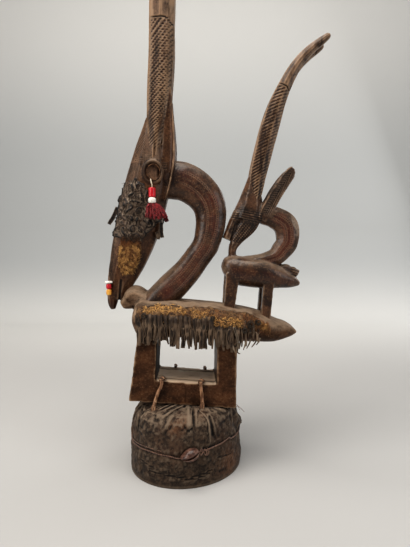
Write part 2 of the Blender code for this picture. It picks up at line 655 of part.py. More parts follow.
def build_thong(name, side, places, parts, material):
    """A leather thong from its knot on the ledge, over the edge and down to the cap."""
    top_x, end_x = places
    radius = THONG_THICKNESS / 2
    face = PLINTH_HALF_WIDTH + radius + 2 * GAP
    on_ledge = ledge_top(top_x) + radius + 3 * GAP
    end = cap_height_at(end_x, face) + 0.0024
    route = (
        (top_x, face - 0.0130, on_ledge), (top_x, face - 0.0060, on_ledge + 0.0002),
        (top_x, face - 0.0014, on_ledge - 0.0004), (top_x, face + 0.0004, on_ledge - 0.0036),
        (0.85 * top_x + 0.15 * end_x, face, on_ledge - 0.0120),
        (0.40 * top_x + 0.60 * end_x, face, 0.5 * (on_ledge + end)),
        (end_x, face, end))
    tube(name, [(x, side * y, z) for x, y, z in route], THONG_THICKNESS, parts, material)


def build_earring(label, side, parts, materials):
    """A brass ring in the ear hollow, with a thread, two beads and a tassel below it."""
    face = HEAD[2][3]
    ring_y = side * (face + BRASS_WIRE / 2 + 0.0008)
    oval_ring("brass_ring_" + label, (EYE[0] + 0.0006, ring_y, EYE[1] - 0.0006),
              BRASS_RING, BRASS_WIRE / 2, parts, materials["brass"])
    hang_y = side * (face + EARRING_OUT)
    thread_low = EARRING_TOP + GAP
    tube("earring_thread_" + label,
         ((EARRING_X - 0.0024, ring_y + side * 0.0024, 0.4478),
          (EARRING_X - 0.0012, 0.5 * (ring_y + side * 0.0024 + hang_y), 0.4425),
          (EARRING_X, hang_y, thread_low + 0.0024), (EARRING_X, hang_y, thread_low)),
         THREAD_THICKNESS, parts, materials["thread"])
    radius, length = RED_BEAD
    red_low = EARRING_TOP - length
    turned("red_bead_" + label,
           ((radius * 0.8, 0.0), (radius, 0.0012), (radius, length - 0.0012), (radius * 0.8, length)),
           (EARRING_X, hang_y, red_low), 10, parts, materials["red"])
    radius, length = WHITE_BEAD
    white_low = red_low - GAP - length
    turned("white_bead_" + label,
           ((radius * 0.7, 0.0), (radius, 0.0022), (radius, length - 0.0022), (radius * 0.7, length)),
           (EARRING_X, hang_y, white_low), 10, parts, materials["white"])
    rings = []
    levels = 3
    for i in range(levels + 1):
        t = i / levels
        half = TASSEL_TOP_HALF + (TASSEL_END_HALF - TASSEL_TOP_HALF) * t ** 0.7
        flat = TASSEL_HALF_DEPTH[0] + (TASSEL_HALF_DEPTH[1] - TASSEL_HALF_DEPTH[0]) * t
        ring = []
        for k in range(2 * TASSEL_STRANDS):
            a = math.pi * k / TASSEL_STRANDS
            strand = 1.0 - (0.22 * t if k % 2 else 0.0)
            drop = t * TASSEL_HEIGHT * (1.0 + 0.06 * math.cos(3 * a)) - 0.002 * (k % 2) * t
            ring.append(Vector((EARRING_X + TASSEL_SWING * t + half * strand * math.cos(a),
                                hang_y + flat * strand * math.sin(a),
                                white_low - GAP - drop)))
        rings.append(ring)
    loft("tassel_" + label, rings, parts, materials["tassel"])


def build_muzzle_beads(parts, materials):
    x, y = MUZZLE_BEAD_PLACE
    for colour, top, radius, length in MUZZLE_BEADS:
        turned("muzzle_bead_" + colour,
               ((radius * 0.6, 0.0), (radius, length * 0.3), (radius, length * 0.7),
                (radius * 0.6, length)),
               (x, y, top - length), 8, parts, materials[colour])
    top = MUZZLE_BEADS[0][1]
    tube("muzzle_thread",
         ((x, y, top + GAP), (x, y, top + 0.0024), (x + 0.0008, y, top + 0.0048)),
         THREAD_THICKNESS, parts, materials["cord"])


def build_hide_strips(parts, material):
    """Stiff scraps of hide that stand off the matted face."""
    wide, thick = HIDE_STRIP_HALF
    for name, y, top, end in HIDE_STRIPS:
        rings = [[Vector((x + u * wide, y + v * thick, z)) for u, v in BOX_OUTLINE]
                 for x, z in (top, end)]
        loft(name, rings, parts, material)


def build():
    clear_scene()
    parts = make_collection("chiwara_headdress")
    forms = make_collection("carving_forms")
    cutters = make_collection("carving_cutters")
    materials = {
        "wood": make_material("patinated_wood", (0.055, 0.035, 0.024), 0.45),
        "cloth": make_material("cap_cloth", (0.060, 0.052, 0.044), 0.85),
        "cord": make_material("dark_cord", (0.080, 0.055, 0.040), 0.80),
        "shell": make_material("cowrie_shell", (0.300, 0.220, 0.170), 0.40),
        "leather": make_material("thong_leather", (0.260, 0.120, 0.060), 0.60),
        "hide": make_material("fringed_hide", (0.090, 0.065, 0.048), 0.80),
        "matted": make_material("matted_hide", (0.110, 0.085, 0.060), 0.90),
        "brass": make_material("brass_wire", (0.400, 0.260, 0.140), 0.40, 1.0),
        "thread": make_material("pale_thread", (0.500, 0.440, 0.360), 0.80),
        "red": make_material("red_bead", (0.600, 0.020, 0.040), 0.25),
        "white": make_material("white_bead", (0.750, 0.730, 0.680), 0.35),
        "yellow": make_material("yellow_bead", (0.700, 0.420, 0.080), 0.35),
        "tassel": make_material("tassel_yarn", (0.170, 0.020, 0.030), 0.90)}
    build_carving(parts, forms, cutters, materials["wood"])
    build_cap(parts, materials["cloth"])
    build_girdle(parts, materials["cord"])
    for label, angle in COWRIE_ANGLES.items():
        build_cowrie("cowrie_" + label, angle, parts, materials["shell"])
    for label, side, places in (("near", -1.0, THONG_NEAR_X), ("far", 1.0, THONG_FAR_X)):
        for end, place in zip(("front", "rear"), places):
            build_thong("thong_" + label + "_" + end, side, place, parts, materials["leather"])
        strips = make_collection("fringe_strips_" + label)
        build_band("hide_band_" + label, side, parts, strips, materials["hide"])
        hide_helpers(strips)
        build_face_hide("face_hide_" + label, side, parts, materials["matted"])
        build_earring(label, side, parts, materials)
    build_muzzle_beads(parts, materials)
    build_hide_strips(parts, materials["hide"])
    hide_helpers(forms)
    hide_helpers(cutters)
    centre = bpy.data.objects.new("headdress", None)
    parts.objects.link(centre)
    centre.location.x = CENTRE_SHIFT
    for group in (parts, forms, cutters):
        for item in group.objects:
            if item is not centre:
                item.parent = centre
    for group in bpy.data.collections:
        if group.name.startswith("fringe_strips"):
            for item in group.objects:
                item.parent = centre


build()
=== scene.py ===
"""The looks of a chiwara headdress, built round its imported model.

Everything is in metres. The antelope faces -X and its near side is -Y. Stations repeat the
form's own sizes: x, z, half depth in the XZ plane, half width in Y.
"""

import math

import bpy
import numpy as np
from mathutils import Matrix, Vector


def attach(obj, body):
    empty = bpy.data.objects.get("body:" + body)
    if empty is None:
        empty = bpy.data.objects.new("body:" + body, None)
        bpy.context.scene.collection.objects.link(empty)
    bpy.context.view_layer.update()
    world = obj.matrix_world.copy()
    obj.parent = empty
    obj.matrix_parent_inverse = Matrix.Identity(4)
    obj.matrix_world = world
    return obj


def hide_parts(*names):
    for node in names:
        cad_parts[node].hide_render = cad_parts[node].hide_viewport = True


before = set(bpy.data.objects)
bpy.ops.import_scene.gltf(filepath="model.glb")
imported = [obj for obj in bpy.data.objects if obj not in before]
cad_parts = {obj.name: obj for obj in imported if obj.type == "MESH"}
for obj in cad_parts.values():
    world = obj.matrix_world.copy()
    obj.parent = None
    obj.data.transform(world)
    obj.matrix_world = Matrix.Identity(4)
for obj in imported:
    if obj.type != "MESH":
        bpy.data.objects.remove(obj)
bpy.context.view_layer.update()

# Driving sizes
CENTRE_SHIFT = 0.0018
GAP = 0.0003
TOTAL_HEIGHT = 0.880
NEAR, FAR = -1.0, 1.0
SIDES = (("near", NEAR), ("far", FAR))

# Fineness of the carved skins
BODY_VOXEL = 0.0020
HEAD_VOXEL = 0.0014
FAWN_VOXEL = 0.0014

# Camera, matched to the photograph
CAMERA_FOCUS_PX = 411.0
PHOTO_HEIGHT_PX = 547.0
CAMERA_PLACE = (-0.0398 + CENTRE_SHIFT, -0.66, 0.3355)
CAMERA_YAW = math.atan(12.3 / CAMERA_FOCUS_PX)
CAMERA_PITCH = math.atan(19.5 / CAMERA_FOCUS_PX)
SENSOR = 36.0

# Cap
CAP_X = -0.0505
CAP_RADIUS = 0.0885
CAP_OVAL = 0.035
CAP_OVAL_ANGLE = math.radians(225.0)
CAP_PROFILE = (
    (0.990, 0.000), (1.000, 0.012), (0.990, 0.034), (0.978, 0.056), (0.960, 0.076),
    (0.925, 0.090), (0.830, 0.099), (0.580, 0.105), (0.060, 0.109))
CAP_LINING = ((0.0, 0.102), (0.70, 0.094), (0.87, 0.076), (0.93, 0.0))
CAP_WALL = 0.006
CAP_FINENESS = (420, 108)
GIRDLE_HEIGHT = 0.054
GIRDLE_THICKNESS = 0.0020

# Plinth
PLINTH_HALF_WIDTH = 0.042
PLINTH_FRONT = -0.138
PLINTH_REAR = 0.027
PLINTH_BOTTOM_FRONT = 0.1117
PLINTH_BOTTOM_SLOPE = -0.0812
LEDGE_FRONT_HEIGHT = 0.1435
LEDGE_FRONT = -0.0965
LEDGE_SLOPE = -0.080
WINDOW_REAR = -0.003
LEG_TOP = 0.232
FRONT_LEG = (
    (None, PLINTH_FRONT, LEDGE_FRONT), (0.1506, -0.1317, LEDGE_FRONT),
    (0.1983, -0.1258, -0.0941), (LEG_TOP, -0.1220, -0.0930))
REAR_LEG = (
    (None, WINDOW_REAR, PLINTH_REAR), (0.1500, WINDOW_REAR, 0.0274),
    (0.1856, WINDOW_REAR, 0.0279), (LEG_TOP, WINDOW_REAR, 0.0290))

# Antelope
BODY = (
    (-0.1325, 0.2350, 0.0130, 0.0360), (-0.1255, 0.2350, 0.0275, 0.0445),
    (-0.1084, 0.2348, 0.0318, 0.0470), (-0.0523, 0.2330, 0.0300, 0.0480),
    (0.0074, 0.2277, 0.0287, 0.0475), (0.0529, 0.2218, 0.0263, 0.0400),
    (0.0856, 0.2145, 0.0204, 0.0300), (0.1085, 0.2126, 0.0140, 0.0190),
    (0.1201, 0.2105, 0.0082, 0.0110), (0.1284, 0.2090, 0.0020, 0.0030))
HEAD = (
    (-0.1066, 0.5493, 0.0063, 0.0080), (-0.1046, 0.5074, 0.0220, 0.0190),
    (-0.1096, 0.4519, 0.0332, 0.0260), (-0.1178, 0.4117, 0.0348, 0.0250),
    (-0.1300, 0.3665, 0.0330, 0.0225), (-0.1423, 0.3267, 0.0278, 0.0190),
    (-0.1545, 0.2932, 0.0205, 0.0150), (-0.1600, 0.2775, 0.0155, 0.0125),
    (-0.1640, 0.2650, 0.0112, 0.0105))
MOUTH = ((-0.1540, 0.2945, 0.0008, 0.0250), (-0.1600, 0.2520, 0.0034, 0.0250))
UPPER_LIP = (
    (-0.1580, 0.3068, 0.0110, 0.0120), (-0.1660, 0.2870, 0.0092, 0.0120),
    (-0.1672, 0.2690, 0.0084, 0.0108), (-0.1680, 0.2570, 0.0070, 0.0092),
    (-0.1672, 0.2474, 0.0034, 0.0052))
CHIN_STRUT = (
    (-0.1050, 0.2600, 0.0160, 0.0220), (-0.1180, 0.2620, 0.0160, 0.0200),
    (-0.1325, 0.2660, 0.0195, 0.0170), (-0.1420, 0.2600, 0.0135, 0.0140),
    (-0.1525, 0.2545, 0.0072, 0.0115))
NECK = (
    (-0.0860, 0.4530, 0.0290, 0.0193), (-0.0788, 0.4528, 0.0301, 0.0200),
    (-0.0534, 0.4498, 0.0306, 0.0200), (-0.0304, 0.4360, 0.0290, 0.0195),
    (-0.0148, 0.4152, 0.0270, 0.0190), (-0.0109, 0.3879, 0.0243, 0.0185),
    (-0.0184, 0.3523, 0.0217, 0.0185), (-0.0345, 0.3275, 0.0212, 0.0190),
    (-0.0530, 0.3034, 0.0225, 0.0210), (-0.0771, 0.2793, 0.0237, 0.0240),
    (-0.1005, 0.2600, 0.0205, 0.0270), (-0.1200, 0.2440, 0.0150, 0.0250))
HORN = (
    (-0.1006, 0.4790, 0.0062), (-0.1000, 0.4950, 0.0085), (-0.0975, 0.5200, 0.0115),
    (-0.0945, 0.5425, 0.0155), (-0.0915, 0.5728, 0.0183), (-0.0895, 0.6031, 0.0191),
    (-0.0877, 0.6332, 0.0194), (-0.0868, 0.6632, 0.0194), (-0.0867, 0.6930, 0.0190))
HORN_HALF_WIDTH = 0.0105
HORN_SPACING = 0.0250
HORN_PITCHES = (0.0052, 0.0088)
HORN_GROOVE = 0.0015
HORN_TILT = math.radians(50.0)
HORN_TIP = (
    (-0.0867, 0.6960, 0.0193), (-0.0858, 0.7250, 0.0192), (-0.0838, 0.7600, 0.0178),
    (-0.0790, 0.8000, 0.0148), (-0.0705, 0.8400, 0.0100),
    (-0.0590, TOTAL_HEIGHT - 0.0035, 0.0040))
HORN_SPREAD = 0.006
EAR = (
    (-0.0735, 0.5900, 0.0015, 0.0020), (-0.0755, 0.5551, 0.0062, 0.0050),
    (-0.0760, 0.5251, 0.0098, 0.0075), (-0.0765, 0.4948, 0.0115, 0.0090),
    (-0.0775, 0.4721, 0.0110, 0.0090), (-0.0812, 0.4416, 0.0080, 0.0065),
    (-0.0854, 0.4187, 0.0035, 0.0030))
EAR_Y = 0.0200
EYE = (-0.1000, 0.4601)
EYE_RIM = (0.0142, 0.0162)
EYE_RIM_THICKNESS = 0.0030
EYE_HOLE = (0.0082, 0.0102)

# Fawn
FAWN_BODY = (
    (0.0081, 0.3082, 0.0060, 0.0120), (0.0125, 0.3097, 0.0150, 0.0190),
    (0.0202, 0.3110, 0.0222, 0.0240), (0.0363, 0.3084, 0.0239, 0.0270),
    (0.0686, 0.3049, 0.0242, 0.0270), (0.0914, 0.2995, 0.0195, 0.0240),
    (0.1159, 0.2924, 0.0119, 0.0160), (0.1301, 0.2890, 0.0053, 0.0080),
    (0.1332, 0.2888, 0.0020, 0.0030))
FAWN_HEAD = (
    (0.0560, 0.4600, 0.0060, 0.0100), (0.0520, 0.4139, 0.0200, 0.0180),
    (0.0465, 0.3950, 0.0222, 0.0178), (0.0447, 0.3880, 0.0215, 0.0172))
FAWN_NOSE = (
    (0.0330, 0.4000, 0.0090, 0.0150), (0.0245, 0.3850, 0.0072, 0.0140),
    (0.0190, 0.3710, 0.0070, 0.0125), (0.0146, 0.3590, 0.0072, 0.0115))
FAWN_JAW = (
    (0.0490, 0.3920, 0.0195, 0.0150), (0.0440, 0.3800, 0.0172, 0.0140),
    (0.0300, 0.3580, 0.0098, 0.0120), (0.0240, 0.3430, 0.0064, 0.0090),
    (0.0240, 0.3300, 0.0066, 0.0085))
FAWN_NECK = (
    (0.0550, 0.4011, 0.0145, 0.0120), (0.0747, 0.3980, 0.0153, 0.0125),
    (0.0908, 0.3941, 0.0170, 0.0130), (0.1094, 0.3810, 0.0190, 0.0130),
    (0.1122, 0.3564, 0.0172, 0.0130), (0.1034, 0.3419, 0.0160, 0.0130),
    (0.0929, 0.3315, 0.0138, 0.0140), (0.0719, 0.3258, 0.0105, 0.0150),
    (0.0444, 0.3234, 0.0090, 0.0150), (0.0280, 0.3220, 0.0070, 0.0120))
FAWN_HORN = (
    (0.0545, 0.4020, 0.0008), (0.0590, 0.4250, 0.0085), (0.0628, 0.4572, 0.0124),
    (0.0733, 0.5020, 0.0137), (0.0842, 0.5435, 0.0137), (0.0934, 0.5726, 0.0122),
    (0.1035, 0.5960, 0.0104))
FAWN_HORN_HALF_WIDTH = 0.0070
FAWN_HORN_SPACING = 0.0190
FAWN_HORN_PITCHES = (0.0048, 0.0062)
FAWN_HORN_GROOVE = 0.0013
FAWN_HORN_TILT = math.radians(40.0)
FAWN_HORN_TIP = (
    (0.1035, 0.5960, 0.0107), (0.1143, 0.6169, 0.0092), (0.1281, 0.6368, 0.0080),
    (0.1435, 0.6521, 0.0070), (0.1589, 0.6636, 0.0058), (0.1717, 0.6730, 0.0038))
FAWN_HORN_SPREAD = 0.007
FAWN_EAR = (
    (0.0695, 0.3885, 0.0078, 0.0060), (0.0760, 0.4020, 0.0108, 0.0068), (0.0830, 0.4139, 0.0112, 0.0068),
    (0.0945, 0.4342, 0.0108, 0.0065), (0.1080, 0.4540, 0.0102, 0.0055),
    (0.1155, 0.4650, 0.0080, 0.0040), (0.1192, 0.4705, 0.0040, 0.0025))
FAWN_EAR_Y = 0.0125
FAWN_TAIL = (
    (0.0960, 0.3085, 0.0062, 0.0060), (0.1090, 0.3125, 0.0072, 0.0072),
    (0.1165, 0.3100, 0.0062, 0.0062), (0.1224, 0.3080, 0.0068, 0.0066),
    (0.1310, 0.3040, 0.0052, 0.0052))
NECK_DOTS = ((-0.20, 1.0), (0.08, 0.45), (0.38, 1.0))
DOT_PITCH = 0.0031
FAWN_LEG_Y = 0.0165
FAWN_FRONT_LEG = ((0.0230, 0.3050, 0.0106, 0.0062), (0.0165, 0.2400, 0.0080, 0.0062))
FAWN_HIND_LEG = ((0.0800, 0.2950, 0.0082, 0.0062), (0.0735, 0.2220, 0.0073, 0.0062))

# Unit outlines, as half depth and half width
OCTAGON = ((-1.0, -0.42), (-0.45, -1.0), (0.45, -1.0), (1.0, -0.50),
           (1.0, 0.50), (0.45, 1.0), (-0.45, 1.0), (-1.0, 0.42))
HORN_OUTLINE = ((-1.0, -0.32), (-0.80, -0.66), (-0.06, -1.0), (0.62, -0.92), (1.0, -0.50),
                (1.0, 0.50), (0.62, 0.92), (-0.06, 1.0), (-0.80, 0.66), (-1.0, 0.32))
FAWN_HORN_OUTLINE = ((-1.0, -0.42), (-0.30, -0.92), (0.25, -1.0), (1.0, -0.42),
                     (1.0, 0.42), (0.25, 1.0), (-0.30, 0.92), (-1.0, 0.42))
BOX_OUTLINE = ((-1.0, -1.0), (1.0, -1.0), (1.0, 1.0), (-1.0, 1.0))
EAR_OUTLINE = ((-1.0, 0.30), (-0.30, 0.70), (0.70, 0.65), (1.0, 0.0), (0.85, -0.90),
               (0.60, -0.80), (0.55, -0.10), (0.20, 0.15), (-0.85, 0.05))


# Number helpers

def step(low, high, value):
    """A smooth rise from 0 to 1 as value goes from low to high."""
    t = np.clip((value - low) / (high - low), 0.0, 1.0)
    return t * t * (3.0 - 2.0 * t)


def bump(value, centre, half_width):
    """A smooth hill of height 1 round a centre."""
    return np.exp(-((value - centre) / half_width) ** 2)


def lattice(ix, iy, iz, seed):
    h = (ix * 73856093) ^ (iy * 19349663) ^ (iz * 83492791) ^ (seed * 2654435761)
    h = ((h ^ (h >> 13)) * 1274126177) & 0xFFFFFFFF
    h = ((h ^ (h >> 15)) * 668265263) & 0xFFFFFFFF
    return ((h ^ (h >> 16)) & 0xFFFF) / 32767.5 - 1.0


def value_noise(points, size, seed=0):
    """Smooth noise from -1 to 1, with lumps about one size across."""
    p = np.asarray(points) / size + 1000.0
    cell = np.floor(p).astype(np.int64)
    f = p - cell
    f = f * f * (3.0 - 2.0 * f)
    total = 0.0
    for dx in (0, 1):
        for dy in (0, 1):
            for dz in (0, 1):
                weight = (np.where(dx, f[..., 0], 1 - f[..., 0])
                          * np.where(dy, f[..., 1], 1 - f[..., 1])
                          * np.where(dz, f[..., 2], 1 - f[..., 2]))
                total = total + weight * lattice(
                    cell[..., 0] + dx, cell[..., 1] + dy, cell[..., 2] + dz, seed)
    return total


def fractal(points, size, octaves=3, seed=0):
    total, weight = 0.0, 1.0
    for k in range(octaves):
        total = total + weight * value_noise(points, size / 2 ** k, seed + 17 * k)
        weight *= 0.5
    return total


def smooth_rows(rows, steps):
    """Rows of numbers joined by a Catmull-Rom curve, with steps rows to each span."""
    ends = [rows[0], *rows, rows[-1]]
    smooth = []
    for i in range(1, len(ends) - 2):
        for k in range(steps):
            t = k / steps
            smooth.append(tuple(
                0.5 * (2 * b + (c - a) * t + (2 * a - 5 * b + 4 * c - d) * t ** 2
                       + (3 * b - a - 3 * c + d) * t ** 3)
                for a, b, c, d in zip(*ends[i - 1:i + 3])))
    smooth.append(tuple(rows[-1]))
    return smooth


def even_rows(rows, pitch):
    """Rows along a smooth spine, one pitch apart, and each one's distance along it."""
    fine = np.array(smooth_rows(rows, 24))
    lengths = np.concatenate([[0.0], np.cumsum(np.hypot(*np.diff(fine[:, :2], axis=0).T))])
    count = max(2, int(round(lengths[-1] / pitch)) + 1)
    places = np.linspace(0.0, lengths[-1], count)
    return np.stack([np.interp(places, lengths, column) for column in fine.T], 1), places


def frames_of(rows):
    """Unit directions along and across a spine, each as x and z."""
    along = np.gradient(np.asarray(rows)[:, :2], axis=0)
    along /= np.linalg.norm(along, axis=1)[:, None]
    return along, np.stack([-along[:, 1], along[:, 0]], 1)


def fill_outline(outline, count):
    """An outline's corners and even points between them, count in all or nearly."""
    corners = np.array(outline)
    nexts = np.roll(corners, -1, axis=0)
    lengths = np.linalg.norm(nexts - corners, axis=1)
    points = []
    for a, b, length in zip(corners, nexts, lengths):
        parts = max(1, int(round(count * length / lengths.sum())))
        points += [a + (b - a) * k / parts for k in range(parts)]
    return np.array(points)


def round_outline(sides, power):
    """A unit outline between an ellipse and a box, starting at the top."""
    a = 2 * np.pi * np.arange(sides) / sides
    c, s = np.cos(a), np.sin(a)
    return np.stack([np.sign(c) * np.abs(c) ** power, -np.sign(s) * np.abs(s) ** power], 1)


# Mesh helpers

def loft(rings, closed=False):
    """Points and faces of a closed skin through rings of points."""
    rings = np.asarray(rings, dtype=float)
    n, m = rings.shape[:2]
    i = np.arange(n if closed else n - 1)[:, None] * np.ones((1, m), dtype=int)
    j = np.arange(m)[None] * np.ones((len(i), 1), dtype=int)
    low, high = i * m, ((i + 1) % n) * m
    k = (j + 1) % m
    faces = np.stack([low + j, low + k, high + k, high + j], -1).reshape(-1, 4).tolist()
    if not closed:
        faces.append(list(range(m))[::-1])
        faces.append([(n - 1) * m + q for q in range(m)])
    return rings.reshape(-1, 3), faces


def joined(parts):
    points, faces, start = [], [], 0
    for part_points, part_faces in parts:
        points.append(part_points)
        faces += [[start + v for v in face] for face in part_faces]
        start += len(part_points)
    return np.vstack(points), faces


def spine_rings(stations, outline, pitch=0.003, y=0.0, side=1.0):
    rows, _ = even_rows(stations, pitch)
    across = frames_of(rows)[1]
    outline = np.asarray(outline)
    u, v = outline[None, :, 0], outline[None, :, 1]
    x = rows[:, 0, None] + across[:, 0, None] * u * rows[:, 2, None]
    z = rows[:, 1, None] + across[:, 1, None] * u * rows[:, 2, None]
    return np.stack([x, y + side * v * rows[:, 3, None] + 0 * x, z], -1)


def new_object(name, points, faces):
    mesh = bpy.data.meshes.new(name)
    mesh.from_pydata(np.asarray(points).tolist(), [], faces)
    item = bpy.data.objects.new(name, mesh)
    bpy.context.scene.collection.objects.link(item)
    return item


def evaluated_mesh(item):
    bpy.context.view_layer.update()
    return bpy.data.meshes.new_from_object(item.evaluated_get(bpy.context.evaluated_depsgraph_get()))


def drop(item):
    bpy.data.objects.remove(item, do_unlink=True)


def read_points(mesh):
    points = np.empty(len(mesh.vertices) * 3)
    mesh.vertices.foreach_get("co", points)
    return points.reshape(-1, 3)


def read_normals(mesh):
    normals = np.empty(len(mesh.vertices) * 3, dtype=np.float32)
    mesh.vertex_normals.foreach_get("vector", normals)
    return normals.reshape(-1, 3).astype(float)


def read_edges(mesh):
    edges = np.empty(len(mesh.edges) * 2, dtype=np.int64)
    mesh.edges.foreach_get("vertices", edges)
    return edges.reshape(-1, 2)


def write_points(mesh, points):
    mesh.vertices.foreach_set("co", np.ascontiguousarray(points, dtype=np.float32).ravel())
    mesh.update()


def write_values(mesh, name, values):
    layer = mesh.attributes.new(name, "FLOAT", "POINT")
    layer.data.foreach_set("value", np.ascontiguousarray(values, dtype=np.float32))


def relaxed(points, edges, times, factor=0.5, back=0.0):
    """Points drawn towards their neighbours' middle, and pushed back a little each time."""
    count = np.bincount(edges.ravel(), minlength=len(points))[:, None].clip(1)
    for _ in range(times):
        for pull in (factor, -back) if back else (factor,):
            total = np.stack([
                np.bincount(edges[:, 0], points[edges[:, 1], k], len(points))
                + np.bincount(edges[:, 1], points[edges[:, 0], k], len(points))
                for k in range(points.shape[1])], 1)
            points = points + pull * (total / count - points)
    return points


def edge_map(mesh, times=7, scale=0.0005):
    """How far each point stands out of the smoothed skin: 1 on sharp edges, -1 in grooves."""
    points, normals = read_points(mesh), read_normals(mesh)
    smooth = relaxed(points, read_edges(mesh), times)
    return np.clip(((points - smooth) * normals).sum(1) / scale, -1.0, 1.0)


def remeshed(name, parts, voxel):
    """One skin round several closed forms, on an even grid."""
    raw = new_object(name + "_raw", *joined(parts))
    remesh = raw.modifiers.new("skin", "REMESH")
    remesh.mode = "VOXEL"
    remesh.voxel_size = voxel
    mesh = evaluated_mesh(raw)
    drop(raw)
    mesh.name = name
    edges = read_edges(mesh)
    write_points(mesh, relaxed(read_points(mesh), edges, 3, 0.5, 0.35))
    return mesh


def cut_from(parts, cutter):
    """Each form with the cutter taken out of it."""
    tool = new_object("cutter", *cutter)
    cut = []
    for points, faces in parts:
        item = new_object("form", points, faces)
        boolean = item.modifiers.new("cut", "BOOLEAN")
        boolean.object = tool
        boolean.operation = "DIFFERENCE"
        boolean.solver = "EXACT"
        mesh = evaluated_mesh(item)
        cut.append((read_points(mesh), [list(face.vertices) for face in mesh.polygons]))
        drop(item)
    drop(tool)
    return cut


def finish_piece(name, mesh, material, nodes, smooth=True):
    """A finished mesh becomes a piece that stands for CAD nodes."""
    points = read_points(mesh)
    points[:, 0] += CENTRE_SHIFT
    write_points(mesh, points)
    if smooth:
        mesh.shade_smooth()
    item = bpy.data.objects.new(name + "_made" if name in nodes else name, mesh)
    bpy.context.scene.collection.objects.link(item)
    item.data.materials.clear()
    item.data.materials.append(material)
    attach(item, "root")
    if nodes:
        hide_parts(*nodes)
    return item


def mesh_from(name, points, faces):
    mesh = bpy.data.meshes.new(name)
    mesh.from_pydata(np.asarray(points).tolist(), [], faces)
    mesh.update()
    return mesh


def spine_place(points, stations, y=0.0, pitch=0.002):
    """Each point's distance along a spine, its place across it and its place in Y.

    The last two run from -1 to 1 over the spine's own half depth and half width."""
    rows, lengths = even_rows(stations, pitch)
    along, across = frames_of(rows)
    flat = points[:, (0, 2)]
    nearest = np.empty(len(flat), dtype=np.int64)
    block = 20000
    for start in range(0, len(flat), block):
        away = flat[start:start + block, None] - rows[None, :, :2]
        nearest[start:start + block] = (away ** 2).sum(-1).argmin(1)
    away = flat - rows[nearest, :2]
    s = lengths[nearest] + (away * along[nearest]).sum(1)
    u = (away * across[nearest]).sum(1) / rows[nearest, 2]
    return s, u, (points[:, 1] - y) / rows[nearest, 3]


def groove(phase, width=0.2):
    """1 at whole phases, falling to 0 a little to either side."""
    off = np.abs(phase - np.round(phase))
    return np.exp(-(off / width) ** 2)


def window(value, low, high, soft):
    """1 between low and high, with soft ends."""
    return step(low - soft, low + soft, value) * (1.0 - step(high - soft, high + soft, value))


def stretched_phase(s, pitches, length):
    """How many grooves lie below a distance, where their pitch grows along the horn."""
    grow = (pitches[1] - pitches[0]) / length
    return np.log1p(grow * np.clip(s, 0.0, None) / pitches[0]) / grow


def tool_marks(points, coarse=0.00025, fine=0.00010, seed=0):
    """The small unevenness of a hand-carved skin."""
    return coarse * fractal(points, 0.013, 2, seed) + fine * fractal(points, 0.0035, 2, seed + 5)


def finish_wood(name, mesh, depth, material, lines=None, edge_scale=0.0009, **shades):
    """Pushes a carved skin in by depth, and stores what its material reads."""
    points, normals = read_points(mesh), read_normals(mesh)
    write_points(mesh, points + normals * (tool_marks(points) - depth)[:, None])
    write_wood(mesh, np.clip(depth / 0.0012, 0.0, 1.0), edge_map(mesh, scale=edge_scale), lines, **shades)
    return finish_piece(name, mesh, material, ("carving",))


def write_wood(mesh, carve, edge, lines=None, red=None, pale=None, soot=None):
    """Values that the wood's material reads: cut depth, edges, tints and scored lines. Darkening and painted
    shade are stored with the cut depth.
    """
    blank = np.zeros(len(mesh.vertices))
    phase, row, mask = lines if lines else (blank, blank + 0.5, blank)
    if soot is not None:
        carve = np.maximum(carve, soot)
    for key, value in (("carve", carve), ("edge", edge), ("phase", phase), ("row", row),
                       ("lined", mask), ("red", red), ("pale", pale)):
        write_values(mesh, key, blank if value is None else value)


# Horns

def horn_rows(shaft, tip, half_width, spread, pitch):
    """Rows up a horn: x, z, half depth, half width and swing."""
    rows = [(*row, half_width, 0.0) for row in shaft]
    last = len(tip) - 1
    for i, (x, z, depth) in enumerate(tip[1:], 1):
        thin = (half_width + 0.0006) * math.sqrt(depth / tip[0][2])
        rows.append((x, z, depth, thin, spread * (i / last) ** 1.5))
    return even_rows(rows, pitch)


def horn_skin(rows, lengths, outline, y, side, cut):
    """A horn's points: rings square to the spine, pushed in by cut."""
    across = -frames_of(rows)[1]
    u, v = outline[None, :, 0], outline[None, :, 1]
    end = lengths[-1]
    rounded = np.sqrt(np.clip(1.0 - ((lengths - end + 0.004) / 0.0045).clip(0.0, 1.0) ** 2, 0.02, 1.0))
    depth = (rows[:, 2] * rounded)[:, None] - cut
    width = (rows[:, 3] * rounded)[:, None] - cut
    x = rows[:, 0, None] + across[:, 0, None] * u * depth
    z = rows[:, 1, None] + across[:, 1, None] * u * depth
    return np.stack([x, y + side * rows[:, 4, None] + v * width, z], -1)


